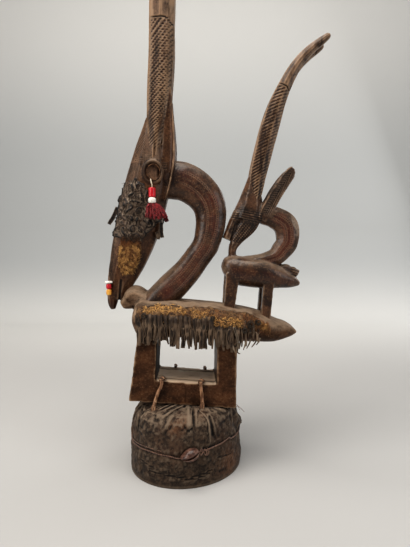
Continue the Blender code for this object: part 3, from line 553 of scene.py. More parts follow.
def horn_cuts(rows, lengths, outline, shaft_length, pitches, depth, tilt, start, ring_drop, seed):
    """How deep a horn's slanting grooves and its ring line are cut."""
    u, v = outline[None, :, 0] + 0 * lengths[:, None], outline[None, :, 1]
    s = lengths[:, None] - math.tan(tilt) * u * rows[:, 2, None]
    where = np.stack([s * 6, u * 0.02, v * 0.02 + 0 * s], -1)
    wander = value_noise(where, 0.10, seed)
    phase = stretched_phase(s, pitches, shaft_length) + 0.25 * wander
    uneven = 0.80 + 0.40 * value_noise(where, 0.03, seed + 3)
    front = step(-0.97, -0.82, u)
    middle = 1.0 - 0.45 * step(0.0, 0.2, u) * (1.0 - step(0.50, 0.66, u))
    middle *= 1.0 - 0.35 * step(0.60, 0.72, u)
    spine = 1.0 - 0.7 * step(0.95, 1.0, u)
    ring_at = shaft_length - ring_drop * step(0.15, 1.0, u) ** 1.3
    shaft = step(start, start + 0.02, lengths[:, None]) * (lengths[:, None] < ring_at - 0.002)
    off = phase - np.floor(phase)
    shape = np.maximum(np.exp(-(np.minimum(off, 1 - off) / 0.17) ** 2), 0.75 * (1.0 - off) ** 1.5)
    cut = depth * shape * uneven * front * middle * spine * shaft
    ring = np.exp(-((lengths[:, None] - ring_at) / 0.0011) ** 2) * step(-1.0, -0.7, u)
    return np.maximum(cut, 1.1 * depth * ring)


def make_horns(name, shaft, tip, outline, sizes, spread, pitches, cut_depth, tilt, start,
               ring_drop, fineness, material):
    half_width, spacing = sizes
    rows, lengths = horn_rows(shaft, tip, half_width, spread, fineness)
    shaft_length = even_rows(shaft, fineness)[1][-1]
    keep = (lengths < shaft_length + 0.006) | (np.arange(len(rows)) % 4 == 0)
    keep |= lengths > lengths[-1] - 0.005
    rows, lengths = rows[keep], lengths[keep]
    outline = fill_outline(outline, 40)
    parts, cuts = [], []
    for _, side in SIDES:
        cut = horn_cuts(rows, lengths, outline, shaft_length, pitches, cut_depth, tilt, start,
                        ring_drop, 11 if side < 0 else 37)
        skin = horn_skin(rows, lengths, outline, side * spacing / 2, side, cut)
        parts.append(loft(skin))
        cuts.append(cut.ravel())
    mesh = mesh_from(name, *joined(parts))
    points, normals = read_points(mesh), read_normals(mesh)
    write_points(mesh, points + normals * tool_marks(points, 0.00018, 0.00007, 3)[:, None])
    u = np.tile(outline[:, 0], 2 * len(rows))
    # The front and rear bevels are paler as a painted highlight, and the horn is also paler above the ring.
    pale = 0.55 * (1.0 - step(-0.97, -0.74, u)) + 0.75 * step(0.56, 0.66, u)
    pale = pale * (0.75 + 0.5 * value_noise(points, 0.02, 6)) + 0.35 * (points[:, 2] > shaft[-1][1])
    write_wood(mesh, np.clip(np.concatenate(cuts) / cut_depth, 0.0, 1.0), edge_map(mesh, 6, 0.0004),
               pale=np.clip(pale, 0.0, 1.0))
    return finish_piece(name, mesh, material, ("carving",))


# Head, neck and body

def oval_torus(centre, radii, wire, flat=1.0, around=64, minor=14):
    """A ring of wire standing in the XZ plane."""
    a = np.linspace(0, 2 * np.pi, around, endpoint=False)[:, None]
    b = np.linspace(0, 2 * np.pi, minor, endpoint=False)[None]
    x = centre[0] + (radii[0] + wire * np.cos(b)) * np.cos(a)
    z = centre[2] + (radii[1] + wire * np.cos(b)) * np.sin(a)
    y = centre[1] + wire * flat * np.sin(b) + 0 * a
    return loft(np.stack([x, y, z], -1)[:, ::-1], closed=True)


def hole_form(side):
    """What is cut away for one eye: an oval funnel."""
    face = side * HEAD[2][3]
    a = np.linspace(0, 2 * np.pi, 48, endpoint=False)
    rings = []
    for depth, scale in ((0.006, 1.36), (0.001, 1.30), (-0.005, 1.16), (-0.0145, 0.75)):
        rings.append(np.stack([
            EYE[0] + EYE_HOLE[0] * scale * np.cos(a), face + side * depth + 0 * a,
            EYE[1] + EYE_HOLE[1] * scale * np.sin(a)], 1))
    return loft(np.array(rings))


MOUTH_LINE = ((-0.1519, 0.2945), (-0.1560, 0.2604))


def make_head(material):
    """The antelope's head, with its lips, ears and eye rims in one skin."""
    octagon = fill_outline(OCTAGON, 40)
    parts = [loft(spine_rings(HEAD, octagon, 0.002)), loft(spine_rings(UPPER_LIP, octagon, 0.002))]
    parts = cut_from(parts, loft(spine_rings(MOUTH, fill_outline(BOX_OUTLINE, 16), 0.004)))
    for _, side in SIDES:
        face = side * HEAD[2][3]
        parts[0] = cut_from([parts[0]], hole_form(side))[0]
        parts.append(loft(spine_rings(EAR, fill_outline(EAR_OUTLINE, 44), 0.0015, side * EAR_Y, -side)))
        parts.append(oval_torus((EYE[0], face, EYE[1]), EYE_RIM, EYE_RIM_THICKNESS * 0.86, 0.9))
    mesh = remeshed("antelope_head", parts, HEAD_VOXEL)
    points, normals = read_points(mesh), read_normals(mesh)
    x, y, z = points.T
    side_on = step(0.2, 0.5, np.abs(normals[:, 1]))
    _, u, _ = spine_place(points, HEAD)
    brow = window(z, 0.4925, 0.5200, 0.0012) * window(u, -0.95, 0.30, 0.05) * side_on
    brow *= 1.0 - step(0.002, 0.006, x + 0.1150)
    cheek = window(z, 0.4440, 0.4735, 0.0015) * window(u, -0.97, -0.42, 0.04)
    dots = window(z, 0.4770, 0.4815, 0.0008) * window(u, -0.95, -0.30, 0.05)
    ear_lines = window(x, -0.0865, -0.0785, 0.0008) * window(z, 0.4640, 0.4760, 0.001) * side_on
    phase = np.where(z > 0.486, (z + 0.9 * x) / 0.0025, (x + 0.15 * z) / 0.0024)
    phase = np.where(dots > 0.01, x / 0.0030, phase)
    phase = np.where(ear_lines > 0.01, z / 0.0024, phase)
    row = np.where(dots > 0.01, (z - 0.4793) / 0.0036 + 0.5, 0.5)
    mask = np.clip(brow + 0.6 * cheek + dots + ear_lines, 0.0, 1.0)
    seam = bump(u, -0.58, 0.045) * window(z, 0.300, 0.372, 0.006) * side_on
    slit, _ = line_distance(x, z, MOUTH_LINE)
    slit = np.exp(-(slit / 0.0016) ** 2) * (np.abs(y) > 0.004)
    # The eye hole's inside gets painted shade, less of it on its right side near the face. The rim's left
    # half and the lip's hook are darkened on the same mask.
    hole = ((x - EYE[0]) / EYE_HOLE[0]) ** 2 + ((z - EYE[1]) / EYE_HOLE[1]) ** 2
    inside = HEAD[2][3] - np.abs(y)
    soot = (hole < 1.95) * step(0.0, 0.0030, inside)
    soot = soot * (1.0 - 0.45 * step(0.0045, 0.0085, x - EYE[0]) * (1.0 - step(0.004, 0.009, inside)))
    rim = (hole > 1.2) * (hole < 4.6) * (np.abs(y) > 0.0225) * (np.abs(z - EYE[1]) < 0.0195)
    soot = np.maximum(soot, rim * (0.30 + 0.35 * step(0.004, -0.010, x - EYE[0])))
    hook = (1.0 - step(0.254, 0.268, z)) * (x < -0.1560)
    hollow = (np.abs(np.abs(y) - EAR_Y) < 0.011) * (x > -0.083) * (z > 0.425)
    nose_bevel = 0.70 * (1.0 - step(-0.92, -0.60, u)) * (z < 0.40)
    pale = nose_bevel + 0.35 * window(z, 0.445, 0.54, 0.01) * (x < -0.088)
    pale = np.clip(pale * (0.8 + 0.5 * value_noise(points, 0.02, 8)) - 0.4 * soot - hook, 0.0, 1.0)
    return finish_wood("antelope_head", mesh, 0.0005 * seam + 0.0019 * slit, material,
                       (phase, row, mask), pale=pale * (1 - hollow),
                       soot=np.maximum(soot, 0.55 * hook), red=hook)


def make_neck(material):
    """The curved neck, nearly round, with dotted rows on a red band."""
    rows, lengths = even_rows(NECK, 0.0010)
    outline = fill_outline(OCTAGON, 76)
    ring = np.arange(len(outline))
    outline = relaxed(outline, np.stack([ring, (ring + 1) % len(outline)], 1), 22, 0.5)
    skin = spine_rings(NECK, outline, 0.0010)
    count = len(skin)
    mesh = mesh_from("antelope_neck", *loft(skin))
    s = np.repeat(lengths[:count], len(outline))
    u = np.tile(outline[:, 0], count)
    v = np.tile(outline[:, 1], count)
    half = np.repeat(rows[:count, 2], len(outline))
    flank = step(0.62, 0.82, np.abs(v))
    shown = flank * window(s, 0.030, lengths[-1] - 0.060, 0.012)
    points = read_points(mesh)
    wander = 0.0006 * value_noise(points, 0.012, 14)
    row, mask, nearest = 0 * u + 0.5, 0 * u, 0 * u + 1.0
    for place, weight in NECK_DOTS:
        off = (u - place) * half + wander
        closer = np.abs(off) < nearest
        nearest = np.where(closer, np.abs(off), nearest)
        row = np.where(closer, off / DOT_PITCH + 0.5, row)
        mask = np.where(closer, weight * (1.0 - step(0.0012, 0.0030, np.abs(off))), mask)
    band = flank * window(u, -0.37, 0.53, 0.05)
    red = band * (0.65 + 0.6 * value_noise(points, 0.02, 4)) * window(s, 0.02, lengths[-1] - 0.03, 0.02)
    # The inner facet and the outer side get a painted highlight in the pale tint.
    pale = 0.50 * (1.0 - step(-0.90, -0.66, u)) * step(0.16, 0.26, s) + 0.25 * step(0.70, 0.90, u)
    pale *= 0.7 + 0.6 * value_noise(points, 0.018, 9)
    facet = 0.00035 * np.clip(fractal(points, 0.010, 2, 77), 0.0, 1.0)
    return finish_wood("antelope_neck", mesh, facet, material,
                       (s / DOT_PITCH + 0.35 * np.round(row), row, mask * shown),
                       red=np.clip(red, 0, 1), pale=np.clip(pale, 0, 1))


def plinth_bottom(x):
    return PLINTH_BOTTOM_FRONT + PLINTH_BOTTOM_SLOPE * (x - PLINTH_FRONT)


def ledge_top(x):
    return LEDGE_FRONT_HEIGHT + LEDGE_SLOPE * (x - LEDGE_FRONT)


def plinth_forms():
    """The board and two legs, as in the solids."""
    wide = PLINTH_HALF_WIDTH
    board = []
    for x in (LEDGE_FRONT - 0.01, WINDOW_REAR + 0.01):
        low, high = plinth_bottom(x), ledge_top(x)
        board.append([(x, -wide, low), (x, wide, low), (x, wide, high), (x, -wide, high)])
    forms = [loft(board)]
    for levels in (FRONT_LEG, REAR_LEG):
        rings = []
        for height, front, rear in levels:
            at_front = height or plinth_bottom(front)
            at_rear = height or plinth_bottom(rear)
            rings.append([(front, -wide, at_front), (rear, -wide, at_rear),
                          (rear, wide, at_rear), (front, wide, at_front)])
        forms.append(loft(rings))
    return forms


def make_body(material):
    """Body, chin strut and plinth in one skin."""
    octagon = fill_outline(OCTAGON, 40)
    parts = [loft(spine_rings(BODY, round_outline(64, 0.85), 0.002)),
             loft(spine_rings(CHIN_STRUT, octagon, 0.002)), *plinth_forms()]
    mesh = remeshed("body_plinth", parts, BODY_VOXEL)
    points, normals = read_points(mesh), read_normals(mesh)
    x, y, z = points.T
    face = step(0.8, 0.95, np.abs(normals[:, 1])) * (z < 0.19)
    crack = bump(x + 0.0512 + 0.0006 * np.sin(z * 900), 0.0, 0.0009) * window(z, 0.1095, 0.1330, 0.002)
    adze = 0.0005 * np.clip(fractal(points * (1, 1, 0.5), 0.009, 2, 21), 0.0, 1.0) * (z < 0.21)
    top = step(0.4, 0.8, normals[:, 2]) * (z > 0.22)
    gouge = 0.0007 * np.clip(value_noise(points * (0.35, 1, 1), 0.009, 8), 0.0, 1.0) * top
    cut = 0.0005 * crack * face * (y < 0) + adze + gouge
    # The ledge top lies in the body's shadow: its pale tint and its sill value are painted light, with less
    # along its groove.
    on_ledge = step(0.7, 0.95, normals[:, 2]) * (z < 0.165) * (x > LEDGE_FRONT) * (x < WINDOW_REAR)
    groove_on_ledge = on_ledge * window(np.abs(y), 0.0230, 0.0300, 0.0015)
    pale = on_ledge * (1.0 - 0.6 * groove_on_ledge)
    pale = np.maximum(pale, 0.50 * step(0.206, 0.218, z) * step(-0.2, 0.4, normals[:, 2]))
    # The window's left inner face, turned away from the left lamp, gets painted shade.
    inner = (np.abs(x - LEDGE_FRONT) < 0.004) * (z < 0.20) * (normals[:, 0] > 0.6)
    front = (x < -0.118) * (z > 0.200)
    write_values(mesh, "sill", on_ledge * (1.0 - 0.75 * groove_on_ledge))
    return finish_wood("body_plinth", mesh, cut + 0.0006 * groove_on_ledge, material,
                       pale=np.clip(pale + 0.20 * front, 0, 1), soot=0.9 * inner)


# Fawn in one skin

def make_fawn(material):
    """The fawn without its horns, in one skin, with its engraved head and ears."""
    octagon = fill_outline(OCTAGON, 36)
    parts = [loft(spine_rings(FAWN_BODY, round_outline(44, 0.9), 0.0015))]
    for stations in (FAWN_HEAD, FAWN_NOSE, FAWN_JAW, FAWN_NECK, FAWN_TAIL):
        parts.append(loft(spine_rings(stations, octagon, 0.0015)))
    for _, side in SIDES:
        parts.append(loft(spine_rings(FAWN_EAR, fill_outline(EAR_OUTLINE, 40), 0.0015,
                                      side * FAWN_EAR_Y, -side)))
        for stations in (FAWN_FRONT_LEG, FAWN_HIND_LEG):
            parts.append(loft(spine_rings(stations, fill_outline(BOX_OUTLINE, 20), 0.002,
                                          side * FAWN_LEG_Y)))
    mesh = remeshed("fawn", parts, FAWN_VOXEL)
    points, normals = read_points(mesh), read_normals(mesh)
    x, y, z = points.T
    side_on = step(0.35, 0.7, np.abs(normals[:, 1]))
    low = z + 0.20 * (x - 0.045)
    bands = window(low, 0.3865, 0.4065, 0.0008) * (x < 0.0700) * (np.abs(y) < 0.022)
    cheek = window(low, 0.3500, 0.3850, 0.0008) * side_on * step(0.0, 0.002, x - 0.0292 + 0.25 * (0.385 - z))
    cheek *= (x < 0.068) * (z > 0.346)
    plank = bump(x - 0.0275 + 0.25 * (0.385 - z), 0.0, 0.0010) * window(z, 0.352, 0.3865, 0.002)
    crossed = np.maximum(groove((x + z) / 0.0047, 0.19), groove((x - 0.8 * z) / 0.0052, 0.19))
    s, u, _ = spine_place(points, FAWN_EAR)
    on_ear = window(s, 0.010, 0.090, 0.004) * (np.abs(u) < 1.3) * (x > 0.0640) * (z > 0.388) * (
        np.abs(y) > 0.0108) * step(0.2, 0.5, normals[:, 1] * np.sign(y))
    chevron = on_ear * (1.0 - step(0.50, 0.62, np.abs(u + 0.08)))
    neck_s, neck_u, neck_v = spine_place(points, FAWN_NECK)
    neck_length = even_rows(FAWN_NECK, 0.002)[1][-1]
    on_neck = (x > 0.0700) * (z > 0.3220) * (z < 0.400) * (np.abs(neck_u) < 1.3) * (1 - (on_ear > 0))
    flank = on_neck * side_on * step(0.75, 0.9, np.abs(neck_v))
    flank *= window(neck_s, 0.03, neck_length - 0.050, 0.01)
    _, body_u, _ = spine_place(points, FAWN_BODY)
    on_body = window(x, 0.020, 0.118, 0.004) * (z < 0.325) * (z > 0.284) * side_on
    fingers = groove((z + 0.35 * x) / 0.0042, 0.16) * (x > 0.1165) * (z > 0.2995) * (z < 0.3200)
    knob = bump(x, 0.0105, 0.0045) * bump(z, 0.3110, 0.0070)
    # A patch on the neck's upper outer side is a painted highlight.
    painted_highlight_patch = window(x, 0.1160, 0.1340, 0.003) * window(z, 0.3640, 0.3980, 0.004) * step(0.30, 0.60, neck_u)
    cut = (0.0011 * groove(low / 0.0036, 0.24) * bands + 0.0010 * crossed * cheek + 0.0010 * plank
           + 0.0010 * fingers + 0.0007 * chevron * bump(u + 0.08, 0.0, 0.10)
           + 0.0003 * np.clip(fractal(points, 0.008, 2, 61), 0.0, 1.0))
    phase = np.where(on_ear > 0, (s + 0.010 * np.abs(u + 0.08)) / 0.0034, neck_s / 0.0027)
    row = np.where(on_ear > 0, 0.5, (np.abs(neck_u) - 0.25) * 0.015 / 0.0027 + 0.5)
    dots = flank * (1.0 - step(0.08, 0.20, np.abs(np.abs(neck_u) - 0.25)))
    mask = np.clip(chevron + 0.8 * dots, 0.0, 1.0)
    red = np.clip(0.8 * flank * window(neck_u, -0.50, 0.50, 0.08)
                  + 0.5 * on_body * window(body_u, -0.50, 0.18, 0.06), 0.0, 1.0)
    # In the pale tint, the neck's outer side gets a painted highlight and faces turned up low on the body
    # get painted top light.
    pale = 0.35 * on_ear + 0.35 * step(0.60, 0.95, neck_u) * on_neck + 0.35 * (z < 0.325) * step(
        0.2, 0.8, normals[:, 2]) + 0.8 * knob + painted_highlight_patch * (value_noise(points, 0.008, 64) > -0.2)
    return finish_wood("fawn", mesh, cut, material, (phase, row, mask), red=red,
                       pale=np.clip(pale, 0, 1))


# Materials

class Look:
    """One material and short calls that add nodes to it."""

    def __init__(self, name, roughness=0.5, **constants):
        self.material = bpy.data.materials.new(name)
        self.material.use_nodes = True
        self.tree = self.material.node_tree
        self.shader = self.tree.nodes["Principled BSDF"]
        self.shader.inputs["Roughness"].default_value = roughness
        for key, value in constants.items():
            self.shader.inputs[key.replace("_", " ")].default_value = value
        self.place = self.node("TexCoord").outputs["Object"]

    def put(self, socket, value):
        if isinstance(value, bpy.types.NodeSocket):
            self.tree.links.new(value, socket)
        else:
            socket.default_value = value

    def node(self, kind, inputs=(), **settings):
        made = self.tree.nodes.new("ShaderNode" + kind)
        for key, value in settings.items():
            setattr(made, key, value)
        for key, value in dict(inputs).items():
            self.put(made.inputs[key], value)
        return made

    def stretched(self, scale):
        return self.node("Mapping", {"Vector": self.place, "Scale": scale}).outputs[0]

    def noise(self, scale, detail=3.0, stretch=None, rough=0.5, distortion=0.0):
        vector = self.stretched(stretch) if stretch else self.place
        return self.node("TexNoise", {"Vector": vector, "Scale": scale, "Detail": detail,
                                      "Roughness": rough, "Distortion": distortion}).outputs["Fac"]

    def cells(self, scale, stretch=None, feature="F1"):
        vector = self.stretched(stretch) if stretch else self.place
        return self.node("TexVoronoi", {"Vector": vector, "Scale": scale},
                         feature=feature).outputs["Distance"]

    def value(self, name):
        return self.node("Attribute", attribute_name=name).outputs["Fac"]

    def math(self, operation, a, b=0.0, clamp=False):
        return self.node("Math", {0: a, 1: b}, operation=operation, use_clamp=clamp).outputs[0]

    def times(self, a, b):
        return self.math("MULTIPLY", a, b)

    def plus(self, a, b):
        return self.math("ADD", a, b)

    def rise(self, value, low, high, top=1.0):
        return self.node("MapRange", {"Value": value, "From Min": low, "From Max": high,
                                      "To Max": top}, interpolation_type="SMOOTHSTEP").outputs[0]

    def mix(self, amount, a, b):
        made = self.node("Mix", data_type="RGBA")
        self.put(made.inputs["Factor"], amount)
        for socket, value in ((made.inputs[6], a), (made.inputs[7], b)):
            self.put(socket, value if isinstance(value, bpy.types.NodeSocket) else (*value, 1.0))
        return made.outputs[2]

    def upness(self, low, high):
        normal = self.node("NewGeometry").outputs["Normal"]
        return self.rise(self.node("SeparateXYZ", {"Vector": normal}).outputs["Z"], low, high)

    def colour(self, value):
        self.put(self.shader.inputs["Base Color"], value)

    def roughness(self, value):
        self.put(self.shader.inputs["Roughness"], value)

    def relief(self, height, distance, strength=1.0):
        made = self.node("Bump", {"Height": height, "Distance": distance, "Strength": strength})
        self.put(self.shader.inputs["Normal"], made.outputs[0])


WOOD_DARK = (0.0190, 0.0082, 0.0043)
WOOD_LIGHT = (0.104, 0.045, 0.0205)
WOOD_RED = (0.074, 0.0125, 0.0062)
WOOD_STAIN = (0.0110, 0.0050, 0.0032)
WOOD_FLAKE = (0.225, 0.125, 0.064)
WOOD_WORN = (0.300, 0.190, 0.115)
WOOD_RING = (0.330, 0.195, 0.120)
WOOD_GROOVE_DARK_AND_SHADE = (0.0035, 0.0018, 0.0012)
WOOD_DUST_AND_TOP_LIGHT = (0.270, 0.195, 0.135)
WOOD_SILL_PAINTED_LIGHT = (0.560, 0.420, 0.300)


def wood_look(name, grain, gloss=0.12, dust_and_top_light=1.0, contrast=1.0, pale=(0.250, 0.180, 0.128)):
    """Dark patinated wood: grain along one way, worn edges, dark grooves, dust and painted top light on
    faces turned up, painted highlights in its pale tint, painted light on the sill and painted shade in
    hollows.
    """
    shine = 0.12 + 0.5 * min(gloss, 0.3)
    look = Look(name, Coat_Weight=gloss, Coat_Roughness=0.22, Specular_IOR_Level=shine)
    streak = look.noise(90.0, 5.0, grain, 0.62, 0.4)
    broad = look.noise(28.0, 3.0)
    fine = look.noise(700.0, 4.0, grain)
    flake = look.noise(300.0, 6.0, rough=0.7)
    patch = look.rise(look.plus(look.times(streak, 0.6), look.times(broad, 0.4)), 0.36, 0.64)
    middle = tuple(0.5 * (a + b) for a, b in zip(WOOD_DARK, WOOD_LIGHT))
    dark = tuple(m + contrast * (a - m) for a, m in zip(WOOD_DARK, middle))
    light = tuple(m + contrast * (a - m) for a, m in zip(WOOD_LIGHT, middle))
    base = look.mix(patch, dark, light)
    base = look.mix(look.times(look.value("red"), look.rise(broad, 0.25, 0.6, 0.9)), base,
                    WOOD_RED)
    # The pale tint also carries painted highlights and painted light where the pieces write them.
    base = look.mix(look.times(look.value("pale"), look.rise(streak, 0.30, 0.60)), base, pale)
    base = look.mix(look.rise(flake, 0.50, 0.66, 0.75 * contrast), base, WOOD_STAIN)
    base = look.mix(look.rise(flake, 0.46, 0.34, 0.50 * contrast), base, WOOD_FLAKE)
    edge = look.value("edge")
    worn = look.times(look.rise(edge, 0.08, 0.70), look.rise(streak, 0.32, 0.58, 0.90))
    base = look.mix(worn, base, WOOD_WORN)
    lines = look.math("ABSOLUTE", look.math("SUBTRACT", look.math("FRACT", look.value("phase")), 0.5))
    across = look.math("ABSOLUTE", look.math("SUBTRACT", look.math("FRACT", look.value("row")), 0.5))
    reach = look.math("SQRT", look.plus(look.times(lines, lines), look.times(across, across)))
    scored = look.times(look.math("SUBTRACT", 1.0, look.rise(reach, 0.12, 0.32)), look.value("lined"))
    ring = look.times(look.rise(reach, 0.24, 0.36, 0.30), look.value("lined"))
    base = look.mix(ring, base, WOOD_RING)
    # Cuts and scored lines go near black. Concave places get painted shade, and so do the painted-shade
    # masks that are stored with the cut depth.
    sunk = look.math("MAXIMUM", scored, look.value("carve"))
    hollow = look.math("MAXIMUM", sunk, look.rise(look.times(edge, -1.0), 0.12, 0.8))
    base = look.mix(look.times(hollow, 0.93), base, WOOD_GROOVE_DARK_AND_SHADE)
    # Faces turned up get dust and painted top light.
    lying = look.times(look.upness(0.25, 0.95), look.rise(look.noise(60.0, 4.0), 0.25, 0.60, 0.75 * dust_and_top_light))
    lying = look.times(lying, look.math("SUBTRACT", 1.0, look.times(look.value("carve"), 0.8)))
    base = look.mix(lying, base, WOOD_DUST_AND_TOP_LIGHT)
    # The sill under the body gets painted light: a brighter colour in place of the light that the body's
    # shadow takes away.
    sill = look.times(look.value("sill"), look.rise(streak, 0.20, 0.50, 0.95))
    base = look.mix(sill, base, WOOD_SILL_PAINTED_LIGHT)
    look.colour(base)
    gloss_level = look.plus(0.34, look.plus(look.times(fine, 0.18), look.times(lying, 0.38)))
    look.roughness(look.plus(gloss_level, look.times(hollow, 0.30)))
    height = look.plus(look.times(streak, 0.35), look.plus(look.times(fine, 0.22), look.times(flake, 0.3)))
    look.relief(look.math("SUBTRACT", height, look.times(scored, 1.3)), 0.0006, 0.85)
    return look.material


def cloth_look():
    """Coarse cap cloth stiff with a dark crust, dusty and reddish in places, with painted shade in its
    hollows and gaps and painted top light on faces turned up.
    """
    look = Look("crusted_cloth", Sheen_Weight=0.04, Sheen_Roughness=0.5, Specular_IOR_Level=0.25)
    broad = look.noise(24.0, 4.0)
    patch = look.noise(110.0, 6.0, rough=0.65)
    blotch = look.noise(260.0, 4.0, rough=0.6)
    grit = look.noise(620.0, 3.0)
    weave = look.noise(260.0, 2.0, (1.0, 1.0, 5.0))
    edge, upper = look.value("edge"), look.value("upper")
    base = look.mix(look.rise(patch, 0.36, 0.64), (0.0175, 0.0108, 0.0068), (0.070, 0.043, 0.0265))
    base = look.mix(look.rise(broad, 0.48, 0.68, 0.45), base, (0.066, 0.030, 0.0165))
    base = look.mix(look.times(look.value("rust"), look.rise(patch, 0.30, 0.55, 0.65)), base,
                    (0.150, 0.066, 0.030))
    base = look.mix(look.rise(blotch, 0.50, 0.66, 0.60), base, (0.0125, 0.0078, 0.0052))
    pale = look.times(look.rise(look.noise(170.0, 5.0, rough=0.7), 0.52, 0.68, 0.85),
                      look.rise(grit, 0.30, 0.6))
    pale = look.times(pale, look.plus(0.35, look.times(upper, 0.65)))
    base = look.mix(pale, base, (0.190, 0.135, 0.092))
    base = look.mix(look.times(look.value("pale"), look.rise(grit, 0.2, 0.5, 0.8)), base,
                    (0.230, 0.175, 0.125))
    base = look.mix(look.times(look.rise(edge, 0.12, 0.8), look.plus(0.35, look.times(upper, 0.5))), base,
                    (0.210, 0.155, 0.108))
    # Concave places get painted shade.
    base = look.mix(look.rise(look.times(edge, -1.0), 0.10, 0.7, 0.92), base, (0.0060, 0.0040, 0.0030))
    # Faces turned up get dust and painted top light.
    lying = look.times(look.upness(0.15, 0.9), look.rise(patch, 0.40, 0.62, 0.60))
    base = look.mix(lying, base, (0.190, 0.140, 0.098))
    # Gaps between the folds are painted black as shade.
    base = look.mix(look.value("painted_gap_shade"), base, (0.0030, 0.0020, 0.0015))
    look.colour(base)
    look.roughness(look.plus(0.62, look.times(grit, 0.28)))
    height = look.plus(look.times(patch, 0.6), look.plus(look.times(grit, 0.25), look.times(weave, 0.35)))
    look.relief(look.plus(height, look.times(blotch, 0.6)), 0.0011, 0.9)
    return look.material


def hide_look(name, dark, mid, pale, grain=(1.0, 1.0, 0.12), roughness=0.62):
    """Old dressed hide: creased along its length, rubbed pale on its edges, with painted shade in its
    creases.
    """
    look = Look(name, Sheen_Weight=0.04, Specular_IOR_Level=0.30)
    streak = look.noise(240.0, 4.0, grain, 0.6)
    broad = look.noise(60.0, 3.0)
    pore = look.noise(1100.0, 2.0)
    base = look.mix(look.rise(streak, 0.36, 0.64), dark, mid)
    rub = look.times(look.rise(broad, 0.48, 0.70, 0.8), look.rise(streak, 0.40, 0.62))
    base = look.mix(rub, base, pale)
    base = look.mix(look.times(look.value("tone"), look.rise(streak, 0.30, 0.60)), base, pale)
    base = look.mix(look.rise(look.value("edge"), 0.2, 0.9, 0.70), base, pale)
    # Concave places get painted shade.
    base = look.mix(look.rise(look.times(look.value("edge"), -1.0), 0.15, 0.8, 0.85), base,
                    tuple(0.30 * part for part in dark))
    look.colour(base)
    look.roughness(look.plus(roughness - 0.08, look.times(pore, 0.22)))
    look.relief(look.plus(look.times(streak, 0.6), look.times(pore, 0.3)), 0.0004, 0.7)
    return look.material


def fur_look(name, low, high, rust, bright=(0.90, 0.64, 0.28)):
    """Gold hide fur: each hair keeps one tone, patches lean to rust, with painted glints."""
    look = Look(name, 0.5, Sheen_Weight=0.05, Specular_IOR_Level=0.30)
    tone = look.value("tone")
    speck = look.noise(1500.0, 2.0)
    base = look.mix(look.rise(tone, 0.10, 0.95), low, high)
    base = look.mix(look.value("rust"), base, rust)
    # Bright specks on the lighter hairs are painted glints.
    base = look.mix(look.times(look.rise(speck, 0.55, 0.75, 0.55), look.rise(tone, 0.4, 0.9)), base, bright)
    base = look.mix(look.rise(look.noise(520.0, 3.0), 0.56, 0.70, 0.60), base,
                    tuple(0.28 * part for part in low))
    look.colour(base)
    look.relief(speck, 0.0003, 0.6)
    return look.material


def crust_look():
    look = Look("matted_crust", Coat_Weight=0.10, Coat_Roughness=0.35, Specular_IOR_Level=0.30)
    lump = look.noise(320.0, 6.0, rough=0.7)
    broad = look.noise(60.0, 3.0)
    edge = look.value("edge")
    base = look.mix(look.rise(lump, 0.36, 0.62), (0.0240, 0.0150, 0.0100), (0.140, 0.098, 0.068))
    base = look.mix(look.rise(broad, 0.5, 0.72, 0.6), base, (0.080, 0.036, 0.020))
    # Crests get a painted highlight and crevices get painted shade.
    base = look.mix(look.rise(edge, 0.10, 0.65, 0.85), base, (0.310, 0.235, 0.170))
    base = look.mix(look.rise(look.times(edge, -1.0), 0.05, 0.50, 0.97), base, (0.0040, 0.0026, 0.0020))
    look.colour(base)
    look.roughness(look.plus(0.50, look.times(lump, 0.35)))
    look.relief(look.plus(lump, look.times(look.noise(1300.0, 2.0), 0.4)), 0.0008, 0.85)
    return look.material


def shell_look():
    look = Look("stained_shell", Coat_Weight=0.28, Coat_Roughness=0.16, Specular_IOR_Level=0.30)
    broad = look.noise(170.0, 4.0)
    edge = look.value("edge")
    base = look.mix(look.rise(broad, 0.36, 0.62), (0.040, 0.0165, 0.0125), (0.130, 0.066, 0.047))
    base = look.mix(look.rise(edge, 0.15, 0.8, 0.70), base, (0.360, 0.235, 0.160))
    # The mouth slit and other hollows get painted shade.
    base = look.mix(look.rise(look.times(edge, -1.0), 0.08, 0.5, 0.97), base, (0.0060, 0.0025, 0.0020))
    look.colour(base)
    look.roughness(look.plus(0.26, look.times(broad, 0.28)))
    look.relief(look.noise(900.0, 3.0), 0.0002, 0.5)
    return look.material


def fibre_look(name, dark, light, scale=900.0, sheen=0.3, roughness=0.8):
    """Spun yarn or cord, with fibres that vary in tone."""
    look = Look(name, Sheen_Weight=sheen)
    fibre = look.noise(scale, 3.0, (1.0, 1.0, 0.25))
    broad = look.noise(140.0, 2.0)
    base = look.mix(look.rise(look.plus(look.times(fibre, 0.7), look.times(broad, 0.3)), 0.34, 0.66),
                    dark, light)
    look.colour(base)
    look.roughness(look.plus(roughness - 0.1, look.times(fibre, 0.2)))
    look.relief(fibre, 0.0003, 0.8)
    return look.material


def bead_look(name, dark, light, roughness=0.18):
    """Glass or ceramic bead with fine drawn streaks, dulled by dirt."""
    look = Look(name, Coat_Weight=0.35, Coat_Roughness=0.12, Specular_IOR_Level=0.35)
    streak = look.noise(900.0, 3.0, (1.0, 1.0, 0.15))
    dirt = look.noise(420.0, 3.0)
    base = look.mix(look.rise(streak, 0.35, 0.65), dark, light)
    base = look.mix(look.rise(dirt, 0.62, 0.82, 0.45), base, (0.120, 0.070, 0.045))
    look.colour(base)
    look.roughness(look.plus(roughness, look.times(dirt, 0.30)))
    look.relief(dirt, 0.0001, 0.5)
    return look.material


